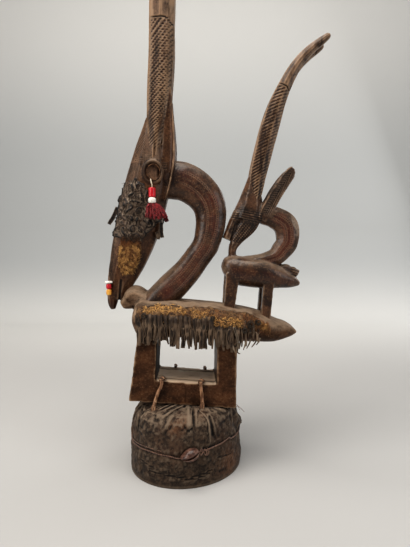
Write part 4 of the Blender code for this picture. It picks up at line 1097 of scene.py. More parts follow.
def brass_look():
    look = Look("aged_brass", Metallic=0.85)
    tarnish = look.noise(380.0, 4.0)
    base = look.mix(look.rise(tarnish, 0.35, 0.65), (0.034, 0.017, 0.011), (0.190, 0.098, 0.050))
    look.colour(base)
    look.roughness(look.plus(0.38, look.times(tarnish, 0.35)))
    look.relief(look.noise(1500.0, 2.0), 0.0001, 0.4)
    return look.material


def basket_look():
    """The cap's inside: a coiled basket under cloth."""
    look = Look("basket_lining")
    coil = look.node("TexWave", {"Vector": look.place, "Scale": 34.0, "Distortion": 1.2},
                     bands_direction="Z").outputs["Fac"]
    strand = look.noise(420.0, 3.0)
    base = look.mix(look.rise(coil, 0.1, 0.7), (0.030, 0.019, 0.012), (0.180, 0.120, 0.070))
    base = look.mix(look.rise(strand, 0.5, 0.7, 0.5), base, (0.260, 0.180, 0.110))
    look.colour(base)
    look.roughness(look.plus(0.65, look.times(strand, 0.2)))
    look.relief(look.plus(look.times(coil, 0.8), look.times(strand, 0.3)), 0.0012, 0.9)
    return look.material


# Cap

def profile_factor(height):
    """How far out the cap's cloth stands at each height of its flank."""
    heights = [z for f, z in CAP_PROFILE]
    return np.interp(height, heights, [f for f, z in CAP_PROFILE])


def cap_oval(angle):
    return 1.0 + CAP_OVAL * np.cos(2 * (angle - CAP_OVAL_ANGLE))


GATHERS = tuple((0.13 + 0.22 * k + 0.06 * math.sin(5.0 * k), 0.030 + 0.018 * math.sin(3.7 * k + 1.0),
                 0.5 + 0.5 * math.sin(2.1 * k)) for k in range(29))


def cap_surface(angle, path):
    """The cloth's outer face: angle round the cap, and path from rim 0 to crown 1."""
    profile = np.array(CAP_PROFILE)
    runs = np.concatenate([[0.0], np.cumsum(np.hypot(
        np.diff(profile[:, 0]) * CAP_RADIUS, np.diff(profile[:, 1])))])
    place = path * runs[-1]
    factor = np.interp(place, runs, profile[:, 0])
    height = np.interp(place, runs, profile[:, 1])
    upper = step(0.050, 0.100, height)
    fold = np.zeros(np.shape(angle))
    near = step(0.25, 0.55, -np.sin(angle))
    for at, width, strength in GATHERS:
        off = (angle - at + 0.25 * (height - 0.09) * math.sin(9.0 * at) + np.pi) % (2 * np.pi) - np.pi
        spread = width * (1.0 + 1.4 * (1.0 - upper))
        reach = step(0.050 + 0.03 * strength, 0.104, height)
        fold = fold + (0.4 + 0.6 * strength) * reach * np.exp(-(off / spread) ** 2)
    fold = fold * (1.0 - 0.75 * near)
    around = np.stack([np.cos(angle) * CAP_RADIUS, np.sin(angle) * CAP_RADIUS, height + 0 * angle], -1)
    cinch = bump(height, girdle_height(angle), 0.0042)
    pinch = cinch * (0.0017 + 0.0005 * value_noise(around, 0.007, 5))
    broad = 0.0017 * value_noise(around * (1, 1, 1.6), 0.026, 6)
    crease = 0.0011 * np.abs(value_noise(around * (0.45, 0.45, 1.6), 0.012, 9))
    dents = 0.0009 * value_noise(around * (1, 1, 0.7), 0.0095, 8)
    crumple = 0.0007 * value_noise(around, 0.0048, 2) + 0.00038 * value_noise(around, 0.0021, 3)
    flank = step(0.004, 0.014, height) * (1.0 - step(0.103, 0.109, height))
    explicit = cap_folds(angle, path)
    puff = (0.0042 * fold * upper - 0.0022 * upper + broad - crease * upper + crumple + dents
            + explicit) * flank - pinch
    radius = CAP_RADIUS * factor * cap_oval(angle) + puff
    x = CAP_X + radius * np.cos(angle)
    lift = (0.0016 * fold + 0.5 * explicit) * step(0.092, 0.104, height)
    z = np.minimum(height + lift - 0.0012 * step(0.09, 0.108, height), plinth_bottom(x) - GAP)
    return np.stack([x, radius * np.sin(angle), np.maximum(z, 0.0)], -1)


def cloth_tints(angle, path):
    """Where the cap's cloth is stained rust, where it is paler along given fold lines, and where its gaps
    are painted black as shade.
    """
    x, z = cap_places(angle, path)
    rust = 0.0 * x
    for at, up, size in RUST_SPOTS:
        rust += np.exp(-((x - at * CAP_RADIUS) ** 2 + (z - up * CAP_RUN) ** 2) / size ** 2)
    marks = []
    for lines in (PALE_LINES, CAP_PAINTED_SHADOW_LINES):
        mark = 0.0 * x
        for corners, half_width in lines:
            away, _ = line_distance(x, z, [(a * CAP_RADIUS, p * CAP_RUN) for a, p in corners])
            mark = np.maximum(mark, np.exp(-(away / half_width) ** 2))
        marks.append(mark)
    return np.clip(rust, 0.0, 1.0), *marks


CAP_PAINTED_SHADOW_LINES = (
    (((-2.330, 0.720), (-2.440, 0.650), (-2.480, 0.590)), 0.0012),
    (((-1.620, 0.830), (-1.640, 0.760)), 0.0026), (((-1.400, 0.820), (-1.385, 0.730)), 0.0020),
    (((-1.400, 0.620), (-1.418, 0.512)), 0.0012),
    (((-1.068, 0.560), (-1.062, 0.441), (-1.050, 0.391)), 0.0012),
    (((-1.700, 0.810), (-1.960, 0.685)), 0.0011),
    (((-0.180, 0.338), (-0.060, 0.324), (0.080, 0.332)), 0.0018),
    (((-0.130, 0.215), (-0.080, 0.200)), 0.0014), (((-0.110, 0.130), (-0.060, 0.120)), 0.0012),
    (((-2.100, 0.770), (-2.170, 0.700)), 0.0009))


def make_cap(cloth, basket):
    around, up = CAP_FINENESS
    angle = np.linspace(0, 2 * np.pi, around, endpoint=False)[None] + np.zeros((up, 1))
    path = np.linspace(0.0, 1.0, up)[:, None] ** 0.92 + np.zeros((1, around))
    outer = cap_surface(angle, path)
    rust, pale, painted_gap_shade = cloth_tints(angle, path)
    inner = cap_surface(angle[::12], path[::12])
    centre = np.array([CAP_X, 0.0, 0.0])
    inner = centre + (inner - centre) * (0.975, 0.975, 0.985)
    mesh = mesh_from("cap_cloth", *loft(np.concatenate([inner[::-1], outer])))
    write_values(mesh, "edge", edge_map(mesh, 12, 0.0007))
    lead = np.zeros(len(mesh.vertices) - outer.shape[0] * outer.shape[1])
    for key, value in (("rust", rust), ("pale", pale), ("painted_gap_shade", painted_gap_shade), ("upper", step(0.35, 0.72, path))):
        write_values(mesh, key, np.concatenate([lead, value.ravel()]))
    cover = finish_piece("cap_cloth", mesh, cloth, ("cap",))
    rings = []
    for factor, height in smooth_rows(CAP_LINING, 6)[::-1]:
        a = np.linspace(0, 2 * np.pi, 96, endpoint=False)
        radius = np.maximum(CAP_RADIUS * factor * cap_oval(a), 0.003)
        x = CAP_X + radius * np.cos(a)
        top = np.minimum(max(height, 0.0), plinth_bottom(x) - CAP_WALL)
        rings.append(np.stack([x, radius * np.sin(a), top], 1))
    skin = np.array(rings)
    out = centre + (skin - centre) * (1.022, 1.022, 1.015)
    out[..., 2] = np.minimum(out[..., 2], plinth_bottom(out[..., 0]) - 0.002)
    out[0, :, 2] = 0.0
    both = np.concatenate([out[::-1], skin])
    lining = mesh_from("cap_lining", *loft(both))
    finish_piece("cap_lining", lining, basket, ("cap",))
    return cover


def twisted_cord(points, thickness, turn, closed, strands=2, sides=7):
    """Strands wound round a path, as one mesh."""
    points = np.asarray(points)
    ahead = np.roll(points, -1, 0) if closed else np.vstack([points[1:], points[-1:]])
    behind = np.roll(points, 1, 0) if closed else np.vstack([points[:1], points[:-1]])
    along = ahead - behind
    along /= np.linalg.norm(along, axis=1)[:, None]
    side = np.cross(along, (0.0, 0.0, 1.0))
    flat = np.linalg.norm(side, axis=1) < 0.2
    side[flat] = np.cross(along[flat], (0.0, 1.0, 0.0))
    side /= np.linalg.norm(side, axis=1)[:, None]
    rise = np.cross(side, along)
    lengths = np.concatenate([[0.0], np.cumsum(np.linalg.norm(np.diff(points, axis=0), axis=1))])
    if closed:
        total = lengths[-1] + np.linalg.norm(points[0] - points[-1])
        turn = total / round(total / turn)
    parts = []
    radius = thickness / (4.0 if strands > 1 else 2.0)
    b = np.linspace(0, 2 * np.pi, sides, endpoint=False)
    for k in range(strands):
        a = 2 * np.pi * (lengths / turn + k / strands)
        off = radius if strands > 1 else 0.0
        middle = points + off * (side * np.cos(a)[:, None] + rise * np.sin(a)[:, None])
        ring = (side[:, None] * np.cos(b)[None, :, None] + rise[:, None] * np.sin(b)[None, :, None])
        parts.append(loft(middle[:, None] + ring * radius * 1.12, closed))
    return joined(parts)


def even_path(points, pitch, smooth=True):
    """Points along a path, one pitch apart."""
    fine = np.array(smooth_rows([tuple(p) for p in points], 16)) if smooth else np.asarray(points)
    lengths = np.concatenate([[0.0], np.cumsum(np.linalg.norm(np.diff(fine, axis=0), axis=1))])
    count = max(3, int(lengths[-1] / pitch) + 1)
    places = np.linspace(0, lengths[-1], count)
    return np.stack([np.interp(places, lengths, fine[:, k]) for k in range(3)], 1)


def soft_piece(name, points, faces, material, nodes, slot, scale=0.0003, times=4):
    mesh = mesh_from(name, points, faces)
    write_values(mesh, "edge", edge_map(mesh, times, scale))
    return finish_piece(name, mesh, material, nodes)


def girdle_point(angle, out=0.0):
    base = CAP_RADIUS * profile_factor(GIRDLE_HEIGHT) * cap_oval(angle) - 0.0007
    radius = base + out
    return np.stack([CAP_X + radius * np.cos(angle), radius * np.sin(angle),
                     GIRDLE_HEIGHT + 0 * angle], -1)


LOOSE_THREADS = (
    ((0.0200, -0.0330, 0.0960), (0.0300, -0.0360, 0.1000), (0.0395, -0.0400, 0.0925)),
    ((0.0210, -0.0250, 0.0965), (0.0290, -0.0260, 0.0990), (0.0335, -0.0280, 0.0910)))


def make_girdle(material):
    """The cord round the cap, a thinner second turn, and loops beside the front cowrie."""
    angle = np.linspace(0, 2 * np.pi, 600, endpoint=False)
    wavy = 0.0005 * np.sin(7 * angle) + 0.0003 * np.sin(17 * angle + 1)
    points = on_cap(angle, girdle_height(angle) + wavy, GIRDLE_THICKNESS / 2 - 0.0009)
    parts = [twisted_cord(points, GIRDLE_THICKNESS, 0.0050, True)]
    second = np.linspace(-2.95, -1.95, 110)
    rise = np.interp(second, (-2.95, -2.58, -2.22, -1.95), (0.0030, 0.0048, 0.0050, 0.0044))
    parts.append(twisted_cord(on_cap(second, girdle_height(second) + rise, 0.0003),
                              0.0012, 0.0036, False, 2, 6))
    turn = np.linspace(0, 2 * np.pi, 70, endpoint=False)
    for at, height, lean in ((-1.305, 0.0515, 0.3), (-1.235, 0.0505, -0.2), (-1.190, 0.0500, 0.5)):
        loop = on_cap(at + 0.022 * np.cos(turn) + lean * 0.03 * np.sin(turn),
                      height + 0.0038 * np.sin(turn), 0.0010 + 0.0010 * np.cos(turn + at * 9))
        parts.append(twisted_cord(loop, 0.0018, 0.0042, True, 2, 6))
    knot = on_cap(np.array([3.07]), np.array([0.0535]), 0.0012)[0]
    parts.append(lumpy_ball(knot, (0.0026, 0.0026, 0.0024), 5))
    for start, bend, end in LOOSE_THREADS:
        parts.append(twisted_cord(even_path((start, bend, end), 0.0012), 0.0007, 0.003, False, 1, 5))
    soft_piece("girdle_cord", *joined(parts), material, ("girdle_cord",), "cord")


def lumpy_ball(centre, radii, seed, lumps=0.12, count=22):
    """A closed ball with an uneven skin."""
    rise = np.linspace(-0.5, 0.5, count)[1:-1] * np.pi
    a = np.linspace(0, 2 * np.pi, 2 * count, endpoint=False)
    unit = np.stack([np.cos(rise)[:, None] * np.cos(a), np.cos(rise)[:, None] * np.sin(a),
                     np.sin(rise)[:, None] + 0 * a], -1)
    grow = 1.0 + lumps * value_noise(unit, 0.7, seed) + 0.5 * lumps * value_noise(unit, 0.3, seed + 1)
    return loft(np.asarray(centre) + unit * np.asarray(radii) * grow[..., None])


COWRIE = (0.0270, 0.0178, 0.0108)
COWRIE_TILT = 0.30
COWRIE_DROP = 0.0034
COWRIE_ANGLES = (("cowrie_front", math.radians(-86.0)), ("cowrie_back", math.radians(92.0)))


def make_cowrie(name, angle, material):
    """A cowrie with its toothed mouth outwards and its flat base on the cap."""
    length, height, thickness = COWRIE
    out = np.array([math.cos(angle), math.sin(angle), 0.0])
    across = np.array([-out[1], out[0], 0.0])
    up = np.array([0.0, 0.0, 1.0])
    start = girdle_point(np.array(angle), 0.0007 + GIRDLE_THICKNESS + 4 * GAP) - COWRIE_DROP * up
    long_way = across + COWRIE_TILT * up
    high_way = up - COWRIE_TILT * across
    a = np.linspace(0, 2 * np.pi, 132, endpoint=False)[None]
    rise = np.radians(np.linspace(0.0, 88.0, 64))[:, None]
    flat = np.cos(rise) ** 0.85
    px = flat * np.cos(a)
    narrow = 1.0 - 0.34 * step(0.0, 1.0, -np.cos(a)) + 0.08 * np.cos(a)
    py = flat * np.sin(a) * narrow
    dome = np.sin(rise) ** 0.9 + 0 * a
    line = 0.16 - 0.10 * px - 0.14 * px ** 2
    slit = np.exp(-((py + line) / 0.11) ** 2) * step(-0.97, -0.80, px) * (1.0 - step(0.80, 0.95, px))
    teeth = np.exp(-((py + line) / 0.30) ** 2) * (0.5 + 0.5 * np.cos(px * 52.0)) * (np.abs(px) < 0.8)
    lip = np.exp(-((np.abs(py + line) - 0.32) / 0.17) ** 2)
    dome = dome - 0.55 * slit - 0.07 * teeth + 0.06 * lip * dome
    outer = (start + long_way * (length / 2 * px)[..., None] + high_way * (height / 2 * py)[..., None]
             + out * (thickness * np.clip(dome, 0.0, 1.0))[..., None])
    base = outer[:1] - out * 0.0002
    soft_piece(name, *loft(np.concatenate([base, outer])), material, (name,), "shell", 0.00040, 8)


def strap(points, half_width, half_depth, normal, sides=16, taper=(1.0, 1.0)):
    """A flattened thong along a path, whose wide side faces along normal."""
    points = np.asarray(points)
    along = np.gradient(points, axis=0)
    along /= np.linalg.norm(along, axis=1)[:, None]
    wide = np.cross(along, np.asarray(normal, dtype=float))
    wide /= np.linalg.norm(wide, axis=1)[:, None]
    thick = np.cross(wide, along)
    b = np.linspace(0, 2 * np.pi, sides, endpoint=False)
    scale = np.linspace(taper[0], taper[1], len(points))[:, None]
    half_width = np.broadcast_to(np.asarray(half_width, dtype=float), (len(points),))[:, None]
    half_depth = np.broadcast_to(np.asarray(half_depth, dtype=float), (len(points),))[:, None]
    w = half_width * scale * np.cos(b)
    d = half_depth * scale * np.sin(b)
    return points[:, None] + wide[:, None] * w[..., None] + thick[:, None] * d[..., None]


THONG_THICKNESS = 0.0058
THONGS = (("thong_near_front", NEAR, -0.0868, -0.0990), ("thong_near_rear", NEAR, -0.0275, -0.0255),
          ("thong_far_front", FAR, -0.0695, -0.0760), ("thong_far_rear", FAR, -0.0191, -0.0150))


def cap_height_at(x, y):
    reach = math.hypot(x - CAP_X, y) / CAP_RADIUS
    factors = [f for f, z in CAP_PROFILE][::-1]
    return float(np.interp(reach, factors, [z for f, z in CAP_PROFILE][::-1]))


def make_thong(name, side, top_x, end_x, number, material):
    """A wrinkled thong: knot on the ledge, strap over the edge, flared end in the cap."""
    radius = THONG_THICKNESS / 2
    near = side < 0
    face = PLINTH_HALF_WIDTH + radius + 2 * GAP
    on_ledge = ledge_top(top_x) + radius + 3 * GAP
    end = cap_height_at(end_x, face) + 0.0024
    route = (
        (top_x + 0.0008, face - 0.0160, on_ledge - 0.0008), (top_x, face - 0.0060, on_ledge - 0.0002),
        (top_x, face - 0.0014, on_ledge - 0.0008), (top_x, face + 0.0004, on_ledge - 0.0040),
        (0.88 * top_x + 0.12 * end_x, face, on_ledge - 0.0120),
        (0.50 * top_x + 0.50 * end_x, face, 0.5 * (on_ledge + end)),
        (end_x, face, end + 0.002), (end_x - 0.0006, face + 0.0006, end - 0.0060))
    points = even_path(route, 0.0006)
    points[:, 1] *= side
    count = len(points)
    t = np.linspace(0.0, 1.0, count)
    rng = np.random.default_rng(100 + number)
    wobble = np.interp(t, np.linspace(0, 1, 14), rng.uniform(-1, 1, 14))
    half_width = radius * (0.88 + 0.12 * wobble + 0.60 * step(0.82, 1.0, t) + 0.15 * bump(t, 0.30, 0.05))
    half_depth = radius * (0.74 + 0.10 * np.roll(wobble, 5) + 0.20 * step(0.85, 1.0, t))
    rings = strap(points, half_width, half_depth, (0.0, side, 0.35), 30, (0.75, 1.0))
    shape = rings.reshape(-1, 3)
    centre = np.repeat(points, 30, axis=0)
    away = shape - centre
    away /= np.linalg.norm(away, axis=1)[:, None]
    crease = 0.00065 * np.abs(value_noise(shape * (1.0, 0.6, 0.60), 0.0026, number))
    pleat = 0.00045 * np.cos(2.2e3 * (shape[:, 0] - np.repeat(points[:, 0], 30))) * np.repeat(
        step(0.80, 0.97, t), 30)
    shape = shape + away * (0.0002 - crease + pleat)[:, None]
    parts = [loft(shape.reshape(rings.shape))]
    size = 1.0 if near else 0.62
    low = 0.0006 if near else 0.0020
    knot_centre = np.array([top_x + 0.0006, side * (face - 0.0030), on_ledge - low])
    parts.append(lumpy_ball(knot_centre, (0.0044 * size, 0.0042 * size, 0.0036 * size), 20 + number, 0.16))
    if near:
        for k, (lean, reach) in enumerate(((0.5, 0.0037), (-0.6, 0.0034))):
            a = np.linspace(0, 2 * np.pi, 44, endpoint=False)
            loop = np.stack([reach * np.cos(a), reach * 0.9 * np.sin(a) * math.cos(lean),
                             0.0026 * np.sin(a) * math.sin(lean) + 0.0010 * np.cos(a) * (1 - 2 * k)], 1)
            parts.append(twisted_cord(knot_centre + loop, 0.0028, 1.0, True, 1, 10))
        tail = knot_centre + np.array([(0.0, -side * 0.002, 0.0), (0.0035, -side * 0.006, -0.0008),
                                       (0.0060, -side * 0.0085, -0.0020)])
        parts.append(loft(strap(even_path(tail, 0.0008), 0.0018, 0.0009, (0, 0, 1.0), 12, (1.0, 0.7))))
    soft_piece(name, *joined(parts), material, (name,), "thong", 0.00035, 5)


BAND_THICKNESS = 0.0022
BAND_FRONT = -0.1258
BAND_REAR = 0.0700
FRINGE_END_HEIGHT = 0.2042
FRINGE_SLOPE = -0.075
BAND_HAIRS = 4200


# Hide bands

def body_row(x):
    rows = np.array(smooth_rows(BODY, 8))
    return np.stack([np.interp(x, rows[:, 0], rows[:, k]) for k in (1, 2, 3)], -1)


def flank_point(x, turn, side, out):
    """A place on the body's flank: turn 0 is its top line and 0.5 its widest line."""
    row = body_row(x)
    a = np.pi * turn
    c, s = np.cos(a), np.sin(a)
    u = np.sign(c) * np.abs(c) ** 0.85
    v = np.abs(s) ** 0.85
    return np.stack([x + 0 * u, side * v * (row[..., 2] + out), row[..., 0] + u * (row[..., 1] + out)], -1)


def band_edges(x):
    """The band's upper and lower turn at each x: its upper edge is ragged."""
    ragged = 0.018 * np.sin(x * 95.0) + 0.012 * np.sin(x * 231.0 + 1.0) + 0.007 * np.sin(x * 560.0)
    upper = 0.262 + ragged + 0.06 * step(0.030, 0.072, x) - 0.02 * step(-0.09, -0.03, x)
    return upper, 0.515 + 0 * x


def make_band(name, side, material):
    """The hide itself: a thin skin over one flank with a lumpy face."""
    x = np.linspace(BAND_FRONT + 0.001, BAND_REAR + 0.012, 230)[:, None]
    across = 44
    upper, lower = band_edges(x)
    t = np.linspace(0.0, 1.0, across)[None]
    turn = upper + (lower - upper) * t
    base = flank_point(x + 0 * turn, turn, side, 0.0)
    lump = value_noise(base, 0.0065, 31) * 0.0005 + value_noise(base, 0.0024, 32) * 0.0003
    thick = BAND_THICKNESS * (0.62 + 0.25 * bump(t, 0.08, 0.07)) + lump
    thick = thick * (1.0 - 0.75 * step(0.035, 0.080, x))
    outer = flank_point(x + 0 * turn, turn, side, thick)
    inner = flank_point(x + 0 * turn[:, ::11], turn[:, ::11], side, -0.0012)
    rings = np.concatenate([outer, inner[:, ::-1]], axis=1)
    if side < 0:
        rings = rings[:, ::-1]
    points, faces = loft(rings)
    piece = soft_piece(name, points, faces, material, (name,), "hide", 0.00035, 5)
    return piece


GOLD_PATCHES = ((-0.1150, -0.0500, 1.0, -0.10, 0.50), (-0.0420, -0.0150, 0.85, 0.18, 0.80),
                (-0.0100, 0.0360, 0.90, 0.50, 1.00), (0.0540, 0.0760, 0.60, 0.20, 0.75))
RUST_PATCHES = ((-0.0300, 0.014), (-0.0010, 0.012), (0.0420, 0.010), (0.0640, 0.010))
CURLS = ((-0.1129, 0.2434, 0.0040), (0.0480, 0.2290, 0.0058), (0.0600, 0.2312, 0.0050),
         (0.0390, 0.2200, 0.0044), (-0.0100, 0.2400, 0.0030))


def gold_at(x, t):
    return np.clip(sum(weight * window(x, start, end, 0.004) * window(t, high, low, 0.08)
                       for start, end, weight, high, low in GOLD_PATCHES), 0, 1)


def hair_blades(roots, normals, leans, lengths, widths, rng):
    """Bent hairs with three sides: two rings and a tip each."""
    count = len(roots)
    up = normals / np.linalg.norm(normals, axis=1)[:, None]
    lean = leans - (leans * up).sum(1)[:, None] * up
    lean /= np.linalg.norm(lean, axis=1)[:, None].clip(1e-9)
    wide = np.cross(up, lean)
    curl = rng.uniform(-0.7, 0.7, count)[:, None]
    points = np.empty((count, 7, 3))
    for ring, (reach, height, size) in enumerate(((0.0, -0.0003, 1.0), (0.45, 0.55, 0.75))):
        grow = lengths[:, None]
        middle = roots + lean * reach * grow + up * (height * grow * 0.45 if ring else height)
        middle = middle + wide * curl * reach * grow * 0.5
        for k in range(3):
            a = 2 * np.pi * k / 3
            points[:, ring * 3 + k] = middle + (wide * math.cos(a) + up * math.sin(a) * 0.8) \
                * (widths * size)[:, None]
    points[:, 6] = roots + lean * lengths[:, None] + up * (lengths * 0.10)[:, None] \
        + wide * curl * lengths[:, None]
    pattern = np.array([(2, 1, 0, 0), (0, 1, 4, 3), (1, 2, 5, 4), (2, 0, 3, 5),
                        (3, 4, 6, 6), (4, 5, 6, 6), (5, 3, 6, 6)])
    faces = []
    for k in range(count):
        start = 7 * k
        for a, b, c, d in pattern:
            faces.append([start + a, start + b, start + c] if d in (a, c) else
                         [start + a, start + b, start + c, start + d])
    return points.reshape(-1, 3), faces


def fur_piece(name, points, faces, tone, rust, material, nodes):
    mesh = mesh_from(name, points, faces)
    write_values(mesh, "tone", np.repeat(tone, 7))
    write_values(mesh, "rust", np.repeat(rust, 7))
    return finish_piece(name, mesh, material, nodes)


def make_band_fur(name, side, number, material):
    """Short gold curls in patches, and longer dull hair towards the tail."""
    rng = np.random.default_rng(40 + number)
    wanted = BAND_HAIRS
    x = rng.uniform(BAND_FRONT + 0.008, 0.080, wanted * 3)
    t = rng.uniform(0.0, 1.05, len(x))
    gold = gold_at(x, t)
    shaggy = step(0.034, 0.042, x)
    chance = 0.30 * (1.0 - step(0.50, 0.75, t)) + 0.70 * gold + 0.10 * shaggy
    keep = rng.uniform(0, 1, len(x)) < chance
    x, t, gold, shaggy = (values[keep][:wanted] for values in (x, t, gold, shaggy))
    rust = np.clip(sum(bump(x, at, width) for at, width in RUST_PATCHES), 0, 1)
    upper, lower = band_edges(x)
    turn = upper + (lower - upper) * t
    out = BAND_THICKNESS * (0.55 + 0.25 * gold * step(0.5, 0.8, t)) * (1.0 - 0.6 * shaggy)
    root = flank_point(x, turn, side, out)
    along_x = flank_point(x + 0.001, turn, side, out) - root
    down = flank_point(x, turn + 0.01, side, out) - root
    normal = np.cross(along_x, down) * (1.0 if side < 0 else -1.0)
    normal *= np.sign((normal * (0.0, side, 0.4)).sum(1))[:, None]
    swirl = 4.2 * value_noise(root, 0.0052, 50) + 2.0 * value_noise(root, 0.0024, 51)
    long_hair = shaggy * (rng.uniform(0, 1, len(x)) < 0.55)
    swirl = swirl * (1.0 - 0.80 * long_hair)
    down /= np.linalg.norm(down, axis=1)[:, None]
    along_x /= np.linalg.norm(along_x, axis=1)[:, None]
    lean = down * np.cos(swirl)[:, None] + along_x * np.sin(swirl)[:, None]
    length = rng.uniform(0.0018, 0.0034, len(x)) + long_hair * rng.uniform(0.0030, 0.0065, len(x))
    width = rng.uniform(0.00022, 0.00038, len(x))
    points, faces = hair_blades(root, normal, lean, length, width, rng)
    clump = value_noise(root, 0.0027, 52) + 0.6 * value_noise(root, 0.0060, 53)
    tone = 0.16 + 0.66 * gold + 0.55 * clump * (0.35 + 0.65 * gold) + rng.uniform(-0.22, 0.22, len(x))
    rust = np.clip(0.85 * np.maximum(rust, 0.6 * shaggy) * (1.0 - 0.7 * gold)
                   + 0.25 * rng.uniform(-1, 1, len(x)), 0, 1)
    return fur_piece(name, points, faces, np.clip(tone, 0, 1), rust, material, ())


def make_curls(material):
    """Coiled wool tufts on the flanks: rings of thick strand lying on the hide."""
    parts = []
    for number, (x, z, size) in enumerate(CURLS):
        for side in (NEAR, FAR):
            row = body_row(np.array(x))
            lift = min(0.96, abs((z - row[0]) / row[1]))
            half = row[2] * (1.0 - lift ** (2 / 0.85)) ** (0.85 / 2) + 0.0022
            a = np.linspace(0, 3.3 * np.pi, 70)
            reach = size * (1.0 - 0.62 * a / a[-1])
            route = np.stack([x + reach * np.cos(a + number), side * (half + 0.0026 - 0.10 * reach) + 0 * a,
                              z + reach * np.sin(a + number)], 1)
            parts.append(twisted_cord(route, 0.0020, 0.0044, False, 2, 6))
    soft_piece("hide_curls", *joined(parts), material, (), "hide")


def ribbon(path, width, thick, facing, curl=0.0, end=0.7):
    """A thin closed strip along a path, a little dished."""
    path = np.asarray(path)
    along = np.gradient(path, axis=0)
    along /= np.linalg.norm(along, axis=1)[:, None]
    facing = np.broadcast_to(np.asarray(facing, dtype=float), path.shape)
    wide = np.cross(along, facing)
    wide /= np.linalg.norm(wide, axis=1)[:, None]
    out = np.cross(wide, along)
    t = np.linspace(0, 1, len(path))
    shrink = (1.0 - (1.0 - end) * t ** 3)[:, None]
    spots = np.array([-1.0, -0.5, 0.0, 0.5, 1.0])
    dish = (spots ** 2 - 0.5) * curl
    front = path[:, None] + wide[:, None] * (spots * width / 2)[None, :, None] * shrink[..., None] \
        + out[:, None] * (dish + thick / 2)[None, :, None]
    back = path[:, None] + wide[:, None] * (spots * width / 2)[None, :, None] * shrink[..., None] \
        + out[:, None] * (dish - thick / 2)[None, :, None]
    return np.concatenate([front, back[:, ::-1]], axis=1)


def make_fringe(name, side, number, material):
    """Narrow overlapping strips cut in the hide's lower edge."""
    rng = np.random.default_rng(60 + number)
    parts, tones, shaded_tops = [], [], []
    for layer, (pitch, out, skip) in enumerate(((0.0040, 0.0010, 0.0), (0.0048, 0.0024, 0.12),
                                                (0.0074, 0.0038, 0.28))):
        count = int((BAND_REAR - 0.002 - BAND_FRONT) / pitch)
        for k in range(count):
            x = BAND_FRONT + 0.003 + (k + 0.4 * layer) * pitch + rng.uniform(-0.0016, 0.0016)
            short = step(0.028, 0.042, np.array(x))
            if rng.uniform() < skip + (0.50 - 0.3 * skip) * short:
                continue
            row = body_row(np.array(x))
            under = window(np.array(x), -0.0100, 0.0360, 0.006)
            end = FRINGE_END_HEIGHT + FRINGE_SLOPE * (x - BAND_FRONT) + rng.uniform(-0.0065, 0.0055)
            end += 0.0045 * layer * rng.uniform(0.0, 1.0) + 0.009 * short
            top_turn = rng.uniform(0.380, 0.420) + 0.070 * under
            top = flank_point(np.array(x), np.array(top_turn), side, 0.0002)
            hem = flank_point(np.array(x), np.array(top_turn + 0.060), side, 0.0010 + 0.0008 * layer)
            lean = 0.0032 * math.sin(x * 150.0 + layer) + rng.normal(0.0, 0.0026 + 0.0022 * short)
            bow = rng.uniform(-0.0026, 0.0026)
            wide = row[2] + out
            middle_z = 0.55 * top[2] + 0.45 * end
            hang = [top, hem, (x + 0.3 * lean, side * (wide + 0.0002), row[0] - 0.005),
                    (x + 0.6 * lean + bow, side * (wide + rng.uniform(-0.0010, 0.0018)), middle_z - 0.004),
                    (x + lean, side * (wide + rng.uniform(-0.0034, 0.0018)), end)]
            path = even_path([tuple(map(float, p)) for p in hang], 0.0034)
            twist = rng.normal(0.0, 0.60)
            t = np.linspace(0, 1, len(path))[:, None] ** 1.6
            facing = np.array([(0.0, side, 0.0)]) + t * np.array([(math.sin(twist), 0.0, 0.0)])
            wide_by = (0.0026 + 0.0046 * rng.uniform() ** 0.8) * (1.0 - 0.50 * short)
            rings = ribbon(path, wide_by, 0.0009, facing, rng.uniform(-0.0014, 0.0014),
                           rng.uniform(0.40, 1.0))
            parts.append(loft(rings))
            tones.append(np.full(len(parts[-1][0]), rng.uniform(0.0, 0.90) ** 2.4))
            shaded_tops.append(np.repeat(np.exp(-(np.linspace(0, 1, len(path)) / 0.30) ** 4), rings.shape[1]))
    points, faces = joined(parts)
    points = points + 0.00050 * np.stack([value_noise(points, 0.006, 70 + k) for k in range(3)], 1)
    mesh = mesh_from(name, points, faces)
    # The tops of the strips, under the fur, get painted shade: a dark edge value and no pale tone.
    top = np.concatenate(shaded_tops)
    write_values(mesh, "edge", edge_map(mesh, 3, 0.0003) * (1.0 - top) - 0.25 * top)
    write_values(mesh, "tone", np.concatenate(tones) * (1.0 - top))
    return finish_piece(name, mesh, material, ())


